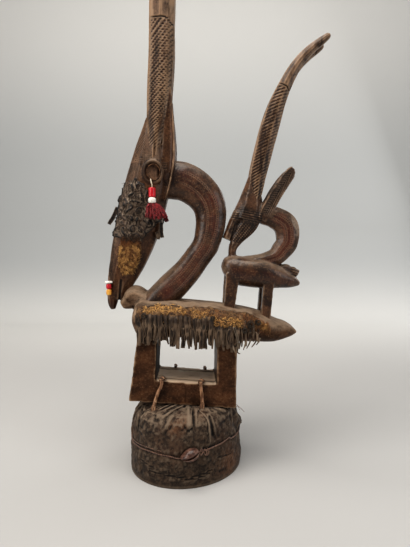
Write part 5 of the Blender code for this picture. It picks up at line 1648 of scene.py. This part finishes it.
CRUST_EDGE = (
    (-0.1409, 0.4478), (-0.1270, 0.4505), (-0.1125, 0.4414), (-0.1077, 0.4305), (-0.1029, 0.4208),
    (-0.0900, 0.4135), (-0.0836, 0.3960), (-0.0862, 0.3840), (-0.0985, 0.3850), (-0.1010, 0.3772),
    (-0.1084, 0.3674), (-0.1158, 0.3576), (-0.1207, 0.3539), (-0.1387, 0.3560), (-0.1512, 0.3600),
    (-0.1900, 0.3640), (-0.1900, 0.4400), (-0.1600, 0.4440))
FACE_HAIRS = 2200
CRUST_PIT = (-0.1408, 0.3828)
CRUST_LUMPS = (
    (-0.1344, 0.4412, 0.0045), (-0.1198, 0.4365, 0.0050),
    (-0.1320, 0.4285, 0.0042), (-0.1406, 0.4159, 0.0050),
    (-0.1261, 0.4135, 0.0046), (-0.1150, 0.4208, 0.0046),
    (-0.1371, 0.4013, 0.0045), (-0.1225, 0.4000, 0.0050),
    (-0.1493, 0.3930, 0.0058), (-0.1345, 0.3880, 0.0046),
    (-0.1230, 0.3844, 0.0046), (-0.1081, 0.3870, 0.0050),
    (-0.0960, 0.3870, 0.0046), (-0.1100, 0.4060, 0.0046), (-0.0980, 0.4060, 0.0046),
    (-0.1330, 0.3740, 0.0050),
    (-0.1200, 0.3700, 0.0046), (-0.1440, 0.3700, 0.0042), (-0.1510, 0.4180, 0.0040))
FACE_FUR_EDGE = (
    (-0.1487, 0.3601), (-0.1215, 0.3602), (-0.1217, 0.3340), (-0.1280, 0.3169), (-0.1350, 0.3061),
    (-0.1507, 0.3061), (-0.1536, 0.3232), (-0.1519, 0.3417))
FUR_SWIRL = (-0.1367, 0.3309)


def crust_height(base):
    """How far the crust stands out: lumps, twisted ropes and pits."""
    warped = base + 0.0062 * np.stack([value_noise(base, 0.012, 86 + k) for k in range(3)], -1)
    ropes = 1.0 - np.clip(1.8 * np.abs(value_noise(warped, 0.0100, 83)), 0.0, 1.0)
    strands = 1.0 - np.clip(1.6 * np.abs(value_noise(warped * (1.4, 1.0, 0.6), 0.0052, 88)), 0.0, 1.0)
    lumps = np.zeros(base.shape[:-1])
    for x, z, size in CRUST_LUMPS:
        reach = np.hypot(warped[..., 0] - x, 0.85 * (warped[..., 2] - z)) / size
        lumps = np.maximum(lumps, np.sqrt(np.clip(1.0 - reach ** 2, 0.0, 1.0)))
    pit = bump(base[..., 0], CRUST_PIT[0], 0.0030) * bump(base[..., 2], CRUST_PIT[1], 0.0036)
    return (0.0003 + 0.0030 * lumps + 0.0021 * ropes ** 1.4 + 0.0006 * strands
            + 0.0003 * value_noise(base, 0.0020, 85) - 0.0055 * pit)


LOOSE_STRIPS = (
    (0.0410, 0.2060, -0.004, 0.016, 0.0435),
    (0.0480, 0.2055, -0.006, 0.014, 0.0420),
    (0.0580, 0.2060, -0.008, 0.013, 0.0395),
    (0.0635, 0.2070, -0.006, 0.011, 0.0380),
    (0.0200, 0.1990, 0.004, 0.012, 0.0485))


def make_loose_strips(material):
    """Thin curled scraps that hang free among the near fringe and towards the tail."""
    pale = ((0.0215, 0.2260, 0.0020), (0.0262, 0.2130, 0.0016), (0.0282, 0.1990, 0.0014),
            (0.0268, 0.1890, 0.0011), (0.0312, 0.1858, 0.0008))
    path = even_path([(x, -0.0510 - 0.4 * w, z) for x, z, w in pale], 0.0012)
    parts = [loft(ribbon(path, 0.0034, 0.0009, (0.2, -1.0, 0.0), 0.0008, 0.4))]
    for x, z, dx, drop, out in LOOSE_STRIPS:
        hang = [(x, -out, z), (x + 0.3 * dx, -out - 0.0012, z - 0.4 * drop), (x + dx, -out, z - drop)]
        parts.append(loft(ribbon(even_path(hang, 0.0015), 0.0022, 0.0008, (0, -1.0, 0), 0.0005, 0.5)))
    soft_piece("loose_strips", *joined(parts), material, (), "hide")


# Face hide

def face_point(s_rows, u, side, out):
    """A place on the head's faceted skin, from its nose line u = -1 round one cheek."""
    corner = np.array(OCTAGON)[(0, 1, 2, 3), :]
    v = np.interp(u, corner[:, 0], np.abs(corner[:, 1]))
    normal_u = np.interp(u, (-1.0, -0.75, -0.45, 0.45, 0.75, 1.0), (-0.95, -0.75, -0.25, 0.25, 0.75, 0.95))
    normal_v = np.sqrt(1.0 - normal_u ** 2)
    x, z, depth, width, ax, az = s_rows
    reach = u * depth + normal_u * out
    return np.stack([x + ax * reach, side * (v * width + normal_v * out), z + az * reach], -1)


def head_rows(z_low, z_high, pitch):
    rows, _ = even_rows(HEAD, 0.001)
    across = frames_of(rows)[1]
    z = np.arange(z_high, z_low, -pitch)
    order = np.argsort(rows[:, 1])
    full = np.concatenate([rows, across], 1)[order]
    return [np.interp(z, full[:, 1], full[:, k])[:, None] for k in (0, 1, 2, 3, 4, 5)]


def make_crust(name, side, material):
    """Matted crust over one side of the face."""
    rows = head_rows(0.3440, 0.4560, 0.00074)
    u = np.linspace(-1.0, 0.98, 96)[None] + 0 * rows[1]
    base = face_point(rows, u, side, 0.0)
    ragged = 0.0022 * value_noise(base, 0.0075, 81) + 0.0012 * value_noise(base, 0.0028, 82)
    cover = step(-0.0008, 0.0014, inside_by(base[..., 0], base[..., 2], CRUST_EDGE) + ragged)
    out = cover * np.clip(crust_height(base), 0.0002, 0.0056) - 0.0016 * (1.0 - cover)
    outer = face_point(rows, u, side, out)
    inner = face_point(rows, u[:, ::13], side, -0.0032)
    rings = np.concatenate([outer, inner[:, ::-1]], axis=1)
    if side > 0:
        rings = rings[:, ::-1]
    soft_piece(name, *loft(rings), material, (name,), "matted", 0.0010, 16)


def cheek_roots(x, z, side, out):
    """Places on the cheek under given x and z, and the way its skin faces."""
    rows, lengths = even_rows(HEAD, 0.001)
    across = frames_of(rows)[1]
    s, u, _ = spine_place(np.stack([x, 0 * x, z], 1), HEAD, 0.0, 0.001)
    place = [np.interp(s, lengths, column) for column in (*rows.T, *across.T)]
    root = face_point(place, np.clip(u, -1.0, 1.0), side, out)
    return root, np.tile((0.0, side, 0.0), (len(x), 1))


def make_face_hair(name, side, number, material):
    """Coarse strands matted into the crust, and longer ones that hang from its lower edge."""
    rng = np.random.default_rng(180 + number)
    count, hanging = 380, 150
    x = rng.uniform(-0.150, -0.084, count * 3)
    z = rng.uniform(0.350, 0.452, count * 3)
    keep = inside_by(x, z, CRUST_EDGE) > rng.uniform(-0.001, 0.003, len(x))
    x = np.concatenate([x[keep][:count], rng.uniform(-0.1500, -0.1190, hanging)])
    z = np.concatenate([z[keep][:count], rng.uniform(0.3570, 0.3680, hanging)])
    down = np.arange(len(x)) >= len(x) - hanging
    root, normal = cheek_roots(x, z, side, 0.0)
    root[:, 1] += side * np.clip(crust_height(root), 0.0002, 0.0056) * 0.85
    swirl = 2.6 * value_noise(root, 0.010, 191)
    lean = np.stack([np.sin(swirl) - 0.2, 0 * x, -0.6 - 0.6 * np.cos(swirl)], 1)
    lean[down] = np.stack([rng.uniform(-0.5, 0.5, hanging), np.zeros(hanging), -np.ones(hanging)], 1)
    length = np.where(down, rng.uniform(0.0050, 0.0090, len(x)), rng.uniform(0.0050, 0.0100, len(x)))
    width = rng.uniform(0.00030, 0.00050, len(x))
    points, faces = hair_blades(root, normal, lean, length, width, rng)
    tone = np.clip(rng.uniform(0, 1, len(x)) ** 1.8 + 0.25 * value_noise(root, 0.006, 192), 0, 1)
    rust = np.where(down, 0.7, 0.5) * rng.uniform(0, 1, len(x))
    fur_piece(name, points, faces, tone, rust, material, ())


def make_face_fur(name, side, number, material):
    """A swirl of gold fur low on the cheek, rust-brown at its top."""
    rng = np.random.default_rng(80 + number)
    count = FACE_HAIRS
    x = rng.uniform(-0.156, -0.117, count * 3)
    z = rng.uniform(0.3035, 0.3625, count * 3)
    keep = inside_by(x, z, FACE_FUR_EDGE) > rng.uniform(-0.0022, 0.0016, len(x))
    x, z = x[keep][:count], z[keep][:count]
    root, normal = cheek_roots(x, z, side, 0.0008)
    away = np.stack([x - FUR_SWIRL[0], 0 * x, 0.7 * (z - FUR_SWIRL[1])], 1)
    around = np.stack([-away[:, 2], 0 * x, away[:, 0]], 1)
    lean = around * 1.2 + away * 0.8 + np.array([0.0, 0.0, -0.005])
    lean[:, 0] += 0.006 * value_noise(root, 0.006, 93)
    high = step(0.3440, 0.3530, z)[:, None]
    upward = np.array([0.007, 0.0, 0.010]) * np.sign(rng.uniform(-0.3, 1, len(x)))[:, None]
    lean = lean * (1 - high) + high * upward
    length = rng.uniform(0.0028, 0.0050, len(x))
    width = rng.uniform(0.00030, 0.00052, len(x))
    points, faces = hair_blades(root, normal, lean, length, width, rng)
    turn = np.arctan2(away[:, 2], away[:, 0])
    waves = np.sin(np.hypot(away[:, 0], away[:, 2]) / 0.0008 + turn + 3.0 * value_noise(root, 0.008, 94))
    clump = 1.15 * value_noise(root, 0.0032, 91) + 0.30 * waves
    tone = np.clip(0.50 + 0.60 * clump + rng.uniform(-0.25, 0.25, len(x)) - 0.35 * high[:, 0], 0, 1)
    rust = np.clip(0.95 * high[:, 0] + 0.45 * value_noise(root, 0.010, 92), 0, 1)
    fur_piece(name, points, faces, tone, rust, material, ())


# Earrings and beads

BRASS_WIRE = 0.0015
BRASS_RING = (0.0100, 0.0120)
EARRING_X = -0.1008
EARRING_OUT = 0.0078
THREAD_THICKNESS = 0.0021
RED_BEAD = (0.0052, 0.0144)
WHITE_BEAD = (0.0058, 0.0088)
EARRING_TOP = 0.4353
TASSEL_HEIGHT = 0.0258
TASSEL_END_HALF = 0.0172
TASSEL_SWING = 0.0062
TASSEL_STRANDS = 66
MUZZLE_BEAD_PLACE = (-0.1706, -0.0168)
MUZZLE_BEADS = (("white", 0.2936, 0.0058, 0.0036), ("red", 0.2896, 0.0040, 0.0086),
                ("yellow", 0.2806, 0.0040, 0.0092))
HIDE_STRIPS = (
    ("hide_strip_front", 0.0, (-0.1585, 0.4095), (-0.1727, 0.3829)),
    ("hide_strip_throat", -0.0180, (-0.0885, 0.3846), (-0.0870, 0.3609)),
    ("hide_strip_jaw", -0.0180, (-0.0950, 0.3700), (-0.0935, 0.3585)))


def turned_bead(profile, centre, sides=44, hole=0.0009):
    """A bead spun about an upright line, with a hole through it."""
    fine = np.array(smooth_rows(profile, 6))
    loop = np.concatenate([fine, [(hole, fine[-1, 1]), (hole, fine[0, 1])]])
    a = np.linspace(0, 2 * np.pi, sides, endpoint=False)
    rings = np.stack([
        np.stack([centre[0] + r * np.cos(a), centre[1] + r * np.sin(a), centre[2] + h + 0 * a], 1)
        for r, h in loop])
    return loft(rings, closed=True)


def make_earring(label, side, number, looks):
    face = side * HEAD[2][3]
    ring_y = face + side * (BRASS_WIRE / 2 + 0.0008)
    soft_piece("brass_ring_" + label,
               *oval_torus((EYE[0] + 0.0006, ring_y, EYE[1] - 0.0006), BRASS_RING,
                           BRASS_WIRE / 2, 1.0, 96, 14),
               looks["brass"], ("brass_ring_" + label,), "brass")
    hang_y = face + side * EARRING_OUT
    low = EARRING_TOP + GAP
    route = ((EARRING_X - 0.0026, ring_y + side * 0.0020, 0.4492),
             (EARRING_X - 0.0022, ring_y + side * 0.0026, 0.4470),
             (EARRING_X - 0.0012, 0.5 * (ring_y + side * 0.0024 + hang_y), 0.4425),
             (EARRING_X, hang_y, low + 0.0024), (EARRING_X, hang_y, low - 0.002))
    soft_piece("earring_thread_" + label,
               *twisted_cord(even_path(route, 0.0004), THREAD_THICKNESS, 0.0036, False, 2, 8),
               looks["thread"], ("earring_thread_" + label,), "thread")
    radius, length = RED_BEAD
    red_low = EARRING_TOP - length
    profile = ((radius * 0.55, 0.0), (radius * 0.90, 0.0004), (radius, 0.0016), (radius, length / 2),
               (radius, length - 0.0016), (radius * 0.90, length - 0.0004), (radius * 0.55, length))
    soft_piece("red_bead_" + label, *turned_bead(profile, (EARRING_X, hang_y, red_low)),
               looks["red"], ("red_bead_" + label,), "red")
    radius, length = WHITE_BEAD
    white_low = red_low - GAP - length
    profile = ((radius * 0.50, 0.0), (radius * 0.86, 0.0008), (radius, 0.0028), (radius, length - 0.0028),
               (radius * 0.86, length - 0.0008), (radius * 0.50, length))
    soft_piece("white_bead_" + label, *turned_bead(profile, (EARRING_X, hang_y, white_low)),
               looks["white"], ("white_bead_" + label,), "white")
    make_tassel("tassel_" + label, hang_y, white_low - GAP, number, looks["tassel"])


def make_tassel(name, y, top, number, material):
    """Yarn ends that spread at once under the bead, then hang as a mop."""
    rng = np.random.default_rng(120 + number)
    parts = []
    for k in range(TASSEL_STRANDS):
        a = 2 * np.pi * k / TASSEL_STRANDS + rng.uniform(-0.1, 0.1)
        inner = rng.uniform(0.10, 1.0) ** 0.5
        reach = (TASSEL_END_HALF - 0.0014) * inner
        drop = TASSEL_HEIGHT * rng.uniform(0.80, 1.0) * (1.0 - 0.12 * abs(math.cos(a)) * inner)
        flat = 0.0058 * inner
        route = []
        for t in (0.0, 0.12, 0.35, 0.65, 1.0):
            swing = TASSEL_SWING * t ** 0.7
            spread = reach * t ** 0.45
            bend = rng.normal(0.0, 0.0006)
            route.append((EARRING_X + swing + 0.0016 * inner * math.cos(a) + spread * math.cos(a) + bend,
                          y + (0.0016 + flat * t ** 0.5) * math.sin(a), top - drop * t ** 1.15 + 0.0008))
        path = even_path(route, 0.0020)
        parts.append(twisted_cord(path, rng.uniform(0.0022, 0.0030), 0.0060, False, 2, 6))
    soft_piece(name, *joined(parts), material, (name,), "tassel", 0.0004, 3)


def make_muzzle_beads(looks):
    x, y = MUZZLE_BEAD_PLACE
    for colour, top, radius, length in MUZZLE_BEADS:
        profile = ((radius * 0.45, 0.0), (radius * 0.88, length * 0.10), (radius, length * 0.35),
                   (radius, length * 0.65), (radius * 0.88, length * 0.90), (radius * 0.45, length))
        soft_piece("muzzle_bead_" + colour, *turned_bead(profile, (x, y, top - length), 36, 0.0007),
                   looks[colour], ("muzzle_bead_" + colour,), colour)
    top = MUZZLE_BEADS[0][1]
    route = ((x, y, MUZZLE_BEADS[2][1] - 0.0072), (x, y, top), (x, y, top + 0.0024),
             (x + 0.0008, y, top + 0.0048))
    soft_piece("muzzle_thread", *twisted_cord(even_path(route, 0.0006), 0.0013, 0.0040, False, 2, 6),
               looks["cord"], ("muzzle_thread",), "cord")


def make_hide_strips(material):
    for number, (name, y, top, end) in enumerate(HIDE_STRIPS):
        (x0, z0), (x1, z1) = top, end
        bow = 0.0012 * (-1) ** number
        path = even_path([(x0, y, z0), (0.5 * (x0 + x1) + bow, y - 0.0004, 0.5 * (z0 + z1)), (x1, y, z1)],
                         0.0010)
        rings = ribbon(path, 0.0066, 0.0012, (0.10, -1.0, 0.1), 0.0009, 0.80)
        points, faces = loft(rings)
        points = points + 0.0004 * np.stack([value_noise(points, 0.0026, 95 + k) for k in range(3)], 1)
        soft_piece(name, points, faces, material, (name,), "hide")


# Stage, light and camera

FLOOR_START = -2.4
FLOOR_END = 1.30
SWEEP_RADIUS = 0.50
WALL_TOP = 3.4
STAGE_HALF_WIDTH = 3.6
SHADE_DEPTH = 0.8


def make_stage():
    """One sweep of floor and wall, with painted shade at the height of the object and painted light farther
    back and to the right.

    The wall stands well behind, so that the object can be seen from the back. Its shades are
    set as seen from the camera on a nearer wall, at SHADE_DEPTH.
    """
    look = Look("pale_backdrop", 0.9, Specular_IOR_Level=0.2)
    place = look.node("SeparateXYZ", {"Vector": look.place}).outputs
    eye_x, eye_y, eye_z = CAMERA_PLACE
    beyond = look.math("MAXIMUM", look.math("SUBTRACT", place["Y"], eye_y), 0.5)
    near = look.math("DIVIDE", SHADE_DEPTH - eye_y, beyond)
    height = look.plus(look.times(look.math("SUBTRACT", place["Z"], eye_z), near), eye_z)
    aside = look.plus(look.times(look.math("SUBTRACT", place["X"], eye_x), near), eye_x)
    # A band at the height of the object gets painted shade.
    painted_shade_band = look.times(look.rise(height, 0.02, 0.34), look.rise(height, 1.25, 0.62))
    base = look.mix(look.rise(look.noise(1.2, 2.0), 0.35, 0.65), (0.430, 0.424, 0.416),
                    (0.452, 0.445, 0.436))
    # Farther back and towards the right the colour is brighter: painted light in place of the light that
    # falls off there.
    far = look.rise(place["Y"], 0.30, 1.60)
    base = look.mix(far, base, (0.80, 0.79, 0.765))
    shade = look.mix(far, (0.268, 0.286, 0.296), (0.400, 0.420, 0.430))
    base = look.mix(look.times(painted_shade_band, 0.75), base, shade)
    bright = look.mix(far, (0.50, 0.50, 0.49), (0.80, 0.80, 0.785))
    look.colour(look.mix(look.rise(aside, 0.10, 0.90, 0.20), base, bright))
    flat_end, radius, top = FLOOR_END, SWEEP_RADIUS, WALL_TOP
    run = [(FLOOR_START, 0.0), (flat_end, 0.0)]
    for k in range(1, 33):
        a = math.pi / 2 * k / 32
        run.append((flat_end + radius * math.sin(a), radius - radius * math.cos(a)))
    run.append((flat_end + radius, top))
    points = [(x, y, z) for y, z in run for x in (-STAGE_HALF_WIDTH, STAGE_HALF_WIDTH)]
    faces = [(2 * k, 2 * k + 1, 2 * k + 3, 2 * k + 2) for k in range(len(run) - 1)]
    mesh = mesh_from("backdrop", points, faces)
    mesh.shade_smooth()
    item = bpy.data.objects.new("backdrop", mesh)
    item.data.materials.append(look.material)
    bpy.context.scene.collection.objects.link(item)


def add_light(name, place, target, size, power, colour):
    data = bpy.data.lights.new(name, "AREA")
    data.shape = "RECTANGLE"
    data.size, data.size_y = size
    data.energy = power
    data.color = colour
    item = bpy.data.objects.new(name, data)
    item.location = place
    item.rotation_euler = (Vector(target) - Vector(place)).to_track_quat("-Z", "Y").to_euler()
    bpy.context.scene.collection.objects.link(item)


WORLD_COLOUR = (1.0, 0.99, 0.97, 1.0)
WORLD_STRENGTH = 0.20
LIGHTS = (  # name, place, aim, size, power, colour
    ("overhead", (-0.30, -0.40, 1.75), (0.0, 0.05, 0.30),
     (1.5, 1.3), 29.0, (1.0, 0.96, 0.90)),
    ("left_window", (-1.45, -0.85, 0.95), (0.0, 0.0, 0.35),
     (0.8, 1.1), 12.0, (1.0, 0.97, 0.93)),
    ("wall_wash", (0.1, 0.20, 2.4), (0.1, 1.8, 1.2),
     (3.0, 0.5), 9.0, (1.0, 0.99, 0.97)),
    ("rear_fill", (1.60, 1.20, 1.00), (0.0, 0.0, 0.40),
     (0.9, 0.9), 7.0, (1.0, 1.0, 1.0)),
    ("right_fill", (1.40, -0.90, 0.80), (0.0, 0.0, 0.35),
     (0.9, 1.2), 7.0, (0.97, 0.98, 1.0)))


def make_lights():
    bpy.context.scene.view_settings.view_transform = "Standard"
    bpy.context.scene.view_settings.look = "Medium High Contrast"
    world = bpy.data.worlds.new("studio")
    bpy.context.scene.world = world
    world.use_nodes = True
    world.node_tree.nodes["Background"].inputs["Color"].default_value = WORLD_COLOUR
    world.node_tree.nodes["Background"].inputs["Strength"].default_value = WORLD_STRENGTH
    for light in LIGHTS:
        add_light(*light)


def make_camera():
    data = bpy.data.cameras.new("photo_view")
    data.sensor_fit = "VERTICAL"
    data.sensor_height = SENSOR
    data.lens = CAMERA_FOCUS_PX * SENSOR / PHOTO_HEIGHT_PX
    item = bpy.data.objects.new("photo_view", data)
    item.location = CAMERA_PLACE
    item.rotation_euler = (math.pi / 2 - CAMERA_PITCH, 0.0, -CAMERA_YAW)
    bpy.context.scene.collection.objects.link(item)
    bpy.context.scene.camera = item


# Places in outlines

def inside_by(x, z, corners):
    """How far places lie inside a polygon, negative outside."""
    nearest = np.full(np.shape(x), 1.0)
    inside = np.zeros(np.shape(x), dtype=bool)
    for (x0, z0), (x1, z1) in zip(corners, (*corners[1:], corners[0])):
        dx, dz = x1 - x0, z1 - z0
        t = np.clip(((x - x0) * dx + (z - z0) * dz) / (dx * dx + dz * dz), 0.0, 1.0)
        nearest = np.minimum(nearest, np.hypot(x - x0 - t * dx, z - z0 - t * dz))
        if dz:
            inside ^= ((z0 > z) != (z1 > z)) & (x < x0 + dx * (z - z0) / dz)
    return np.where(inside, nearest, -nearest)


def line_distance(x, z, corners):
    """How far places lie from a line through corners, and where along it from 0 to 1."""
    nearest = np.full(np.shape(x), 1.0)
    place = np.zeros(np.shape(x))
    count = len(corners) - 1
    for k, ((x0, z0), (x1, z1)) in enumerate(zip(corners, corners[1:])):
        dx, dz = x1 - x0, z1 - z0
        t = np.clip(((x - x0) * dx + (z - z0) * dz) / (dx * dx + dz * dz), 0.0, 1.0)
        away = np.hypot(x - x0 - t * dx, z - z0 - t * dz)
        place = np.where(away < nearest, (k + t) / count, place)
        nearest = np.minimum(nearest, away)
    return nearest, place


GIRDLE_LINE = (
    (-3.14, 0.0), (-2.95, -0.0035), (-2.79, -0.0070), (-2.54, -0.0070), (-2.28, -0.0052),
    (-2.05, -0.0050), (-1.85, -0.0066), (-1.68, -0.0095), (-1.50, -0.0060), (-1.34, -0.0015),
    (-1.18, -0.0004), (-1.00, 0.0012), (-0.85, 0.0020), (-0.65, 0.0030), (-0.34, 0.0005), (3.14, 0.0))
CAP_RUN = 0.1715
CAP_FOLDS = (
    (((-1.523, 0.826), (-1.846, 0.719), (-1.969, 0.629), (-2.048, 0.552)), 0.0034, 0.0034),
    (((-1.829, 0.823), (-2.030, 0.726), (-2.135, 0.656)), 0.0028, 0.0030),
    (((-2.100, 0.789), (-2.205, 0.716), (-2.275, 0.652)), 0.0024, 0.0024),
    (((-1.488, 0.813), (-1.505, 0.639), (-1.505, 0.538), (-1.488, 0.482)), 0.0044, 0.0030),
    (((-1.059, 0.783), (-1.321, 0.656), (-1.383, 0.585)), 0.0030, 0.0028),
    (((-0.820, 0.790), (-0.960, 0.690), (-1.010, 0.600)), 0.0036, 0.0022),
    (((-1.225, 0.680), (-1.173, 0.612), (-1.129, 0.548), (-1.138, 0.465), (-1.120, 0.365)),
     0.0011, 0.0016),
    (((-2.450, 0.652), (-2.477, 0.595), (-2.494, 0.542), (-2.477, 0.492)), 0.0010, 0.0013),
    (((-2.765, 0.599), (-2.608, 0.505), (-2.555, 0.391)), 0.0024, 0.0016),
    (((-2.713, 0.639), (-2.538, 0.575)), 0.0024, 0.0017),
    (((-2.900, 0.600), (-2.880, 0.420), (-2.890, 0.250)), 0.0020, 0.0011),
    (((-0.753, 0.672), (-0.691, 0.592), (-0.569, 0.552)), 0.0036, 0.0022),
    (((-0.324, 0.575), (-0.438, 0.502), (-0.464, 0.415)), 0.0032, 0.0020),
    (((-2.126, 0.589), (-1.978, 0.538)), 0.0042, 0.0018),
    (((-1.846, 0.609), (-1.881, 0.535), (-1.916, 0.472)), 0.0030, 0.0020),
    (((-0.200, 0.440), (-0.080, 0.385), (0.060, 0.400)), 0.0085, 0.0040),
    (((-1.286, 0.799), (-1.400, 0.619), (-1.418, 0.512)), 0.0022, -0.0034),
    (((-1.620, 0.800), (-1.640, 0.730)), 0.0040, -0.0030),
    (((-1.700, 0.800), (-1.960, 0.675)), 0.0018, -0.0026),
    (((-1.068, 0.560), (-1.068, 0.441), (-1.050, 0.391)), 0.0024, -0.0024),
    (((-2.330, 0.720), (-2.440, 0.640), (-2.480, 0.590)), 0.0013, -0.0022),
    (((-0.180, 0.345), (-0.060, 0.330), (0.080, 0.340)), 0.0026, -0.0050),
    (((-2.179, 0.127), (-1.820, 0.114), (-1.496, 0.094), (-1.103, 0.124)), 0.0009, -0.0010),
    (((-1.575, 0.080), (-1.365, 0.087), (-1.146, 0.104)), 0.0008, -0.0014),
    (((-2.415, 0.191), (-2.083, 0.157)), 0.0009, -0.0010),
    (((-0.980, 0.215), (-0.620, 0.190)), 0.0010, -0.0010))
RUST_SPOTS = ((-2.424, 0.656, 0.011), (-1.225, 0.640, 0.014), (-0.665, 0.120, 0.022), (-1.780, 0.500, 0.010),
              (-1.620, 0.560, 0.012), (-2.900, 0.300, 0.012), (0.900, 0.300, 0.020), (2.200, 0.200, 0.020))
PALE_LINES = (
    (((-1.488, 0.813), (-1.505, 0.639), (-1.505, 0.538), (-1.488, 0.482)), 0.0036),
    (((-1.225, 0.680), (-1.173, 0.612), (-1.129, 0.548), (-1.138, 0.465), (-1.120, 0.365)), 0.0012),
    (((-2.450, 0.652), (-2.477, 0.595), (-2.494, 0.542), (-2.477, 0.492)), 0.0012),
    (((-1.523, 0.826), (-1.846, 0.719), (-1.969, 0.629)), 0.0016),
    (((-1.829, 0.823), (-2.030, 0.726)), 0.0014))


def girdle_height(angle):
    """The girdle cord's height round the cap: it dips at the near side's left."""
    line = np.array(smooth_rows(GIRDLE_LINE, 6))
    wrapped = (angle + np.pi) % (2 * np.pi) - np.pi
    return GIRDLE_HEIGHT + np.interp(wrapped, line[:, 0], line[:, 1])


def on_cap(angle, height, out=0.0):
    """A place on the cap's smooth flank, standing out a little."""
    radius = CAP_RADIUS * profile_factor(height) * cap_oval(angle) + out
    return np.stack([CAP_X + radius * np.cos(angle), radius * np.sin(angle), height + 0 * angle], -1)


def cap_places(angle, path):
    """Angle and path as metres over the cloth, with the near side in the middle."""
    wrapped = (angle + np.pi) % (2 * np.pi) - np.pi
    return wrapped * CAP_RADIUS, path * CAP_RUN + 0 * wrapped


def cap_folds(angle, path):
    """The height of the near side's folds, pleats and creases."""
    x, z = cap_places(angle, path)
    total = 0.0 * x
    for corners, half_width, height in CAP_FOLDS:
        away, place = line_distance(x, z, [(a * CAP_RADIUS, p * CAP_RUN) for a, p in corners])
        shape = np.exp(-(away / half_width) ** 2) - 0.5 * np.exp(-((away / half_width - 1.9) / 0.7) ** 2)
        total += height * shape * (1.0 - step(0.75, 1.0, place) * (z > 0.03))
    return total


def main():
    make_camera()
    make_lights()
    make_stage()
    upright = wood_look("wood_upright", (1.0, 1.0, 0.16))
    glossy = wood_look("wood_rubbed", (0.5, 1.0, 0.5), 0.35, 0.7)
    lying = wood_look("wood_lying", (0.45, 1.0, 0.8), 0.0, 1.0, 0.70, (0.360, 0.262, 0.180))
    leather = hide_look("thong_leather", (0.120, 0.055, 0.027), (0.370, 0.200, 0.108),
                        (0.520, 0.345, 0.215), (1.0, 1.0, 0.4), 0.5)
    strips = hide_look("fringe_leather", (0.0095, 0.0054, 0.0034), (0.050, 0.029, 0.017),
                       (0.190, 0.128, 0.082))
    band = hide_look("band_hide", (0.034, 0.017, 0.008), (0.130, 0.066, 0.028), (0.260, 0.155, 0.070),
                     (1.0, 1.0, 1.0), 0.7)
    gold = fur_look("gold_fur", (0.130, 0.056, 0.018), (0.720, 0.415, 0.140), (0.290, 0.112, 0.036))
    hair = fur_look("matted_hair", (0.022, 0.0140, 0.0095), (0.260, 0.195, 0.140), (0.095, 0.042, 0.022),
                    (0.40, 0.32, 0.24))
    looks = {
        "brass": brass_look(),
        "thread": fibre_look("pale_thread", (0.420, 0.330, 0.220), (0.820, 0.740, 0.600)),
        "cord": fibre_look("red_brown_cord", (0.060, 0.026, 0.016), (0.230, 0.118, 0.074)),
        "red": bead_look("red_bead", (0.420, 0.004, 0.012), (0.680, 0.018, 0.034)),
        "white": bead_look("white_bead", (0.780, 0.740, 0.660), (0.950, 0.930, 0.880)),
        "yellow": bead_look("yellow_bead", (0.600, 0.180, 0.016), (0.920, 0.540, 0.100)),
        "tassel": fibre_look("tassel_yarn", (0.050, 0.003, 0.005), (0.330, 0.018, 0.022), sheen=0.12)}
    make_horns("antelope_horns", HORN, HORN_TIP, HORN_OUTLINE, (HORN_HALF_WIDTH, HORN_SPACING),
               HORN_SPREAD, HORN_PITCHES, HORN_GROOVE, HORN_TILT, 0.012, 0.011, 0.0008, upright)
    make_head(upright)
    make_neck(glossy)
    make_body(lying)
    make_fawn(glossy)
    make_horns("fawn_horns", FAWN_HORN, FAWN_HORN_TIP, FAWN_HORN_OUTLINE,
               (FAWN_HORN_HALF_WIDTH, FAWN_HORN_SPACING), FAWN_HORN_SPREAD, FAWN_HORN_PITCHES,
               FAWN_HORN_GROOVE, FAWN_HORN_TILT, 0.010, 0.004, 0.0007, upright)
    cover = make_cap(cloth_look(), basket_look())
    make_girdle(looks["cord"])
    shell = shell_look()
    for name, angle in COWRIE_ANGLES:
        make_cowrie(name, angle, shell)
    for number, (name, side, top_x, end_x) in enumerate(THONGS):
        make_thong(name, side, top_x, end_x, number, leather)
    crust = crust_look()
    for number, (label, side) in enumerate(SIDES):
        hide = make_band("hide_band_" + label, side, band)
        fur = make_band_fur("band_fur_" + label, side, number, gold)
        fringe = make_fringe("fringe_" + label, side, number, strips)
        make_crust("face_hide_" + label, side, crust)
        make_face_hair("face_hair_" + label, side, number, hair)
        make_face_fur("face_fur_" + label, side, number, gold)
        make_earring(label, side, number, looks)
    scraps = hide_look("pale_scraps", (0.055, 0.038, 0.025), (0.230, 0.170, 0.115), (0.360, 0.285, 0.205))
    make_loose_strips(scraps)
    make_curls(scraps)
    make_muzzle_beads(looks)
    make_hide_strips(strips)


main()
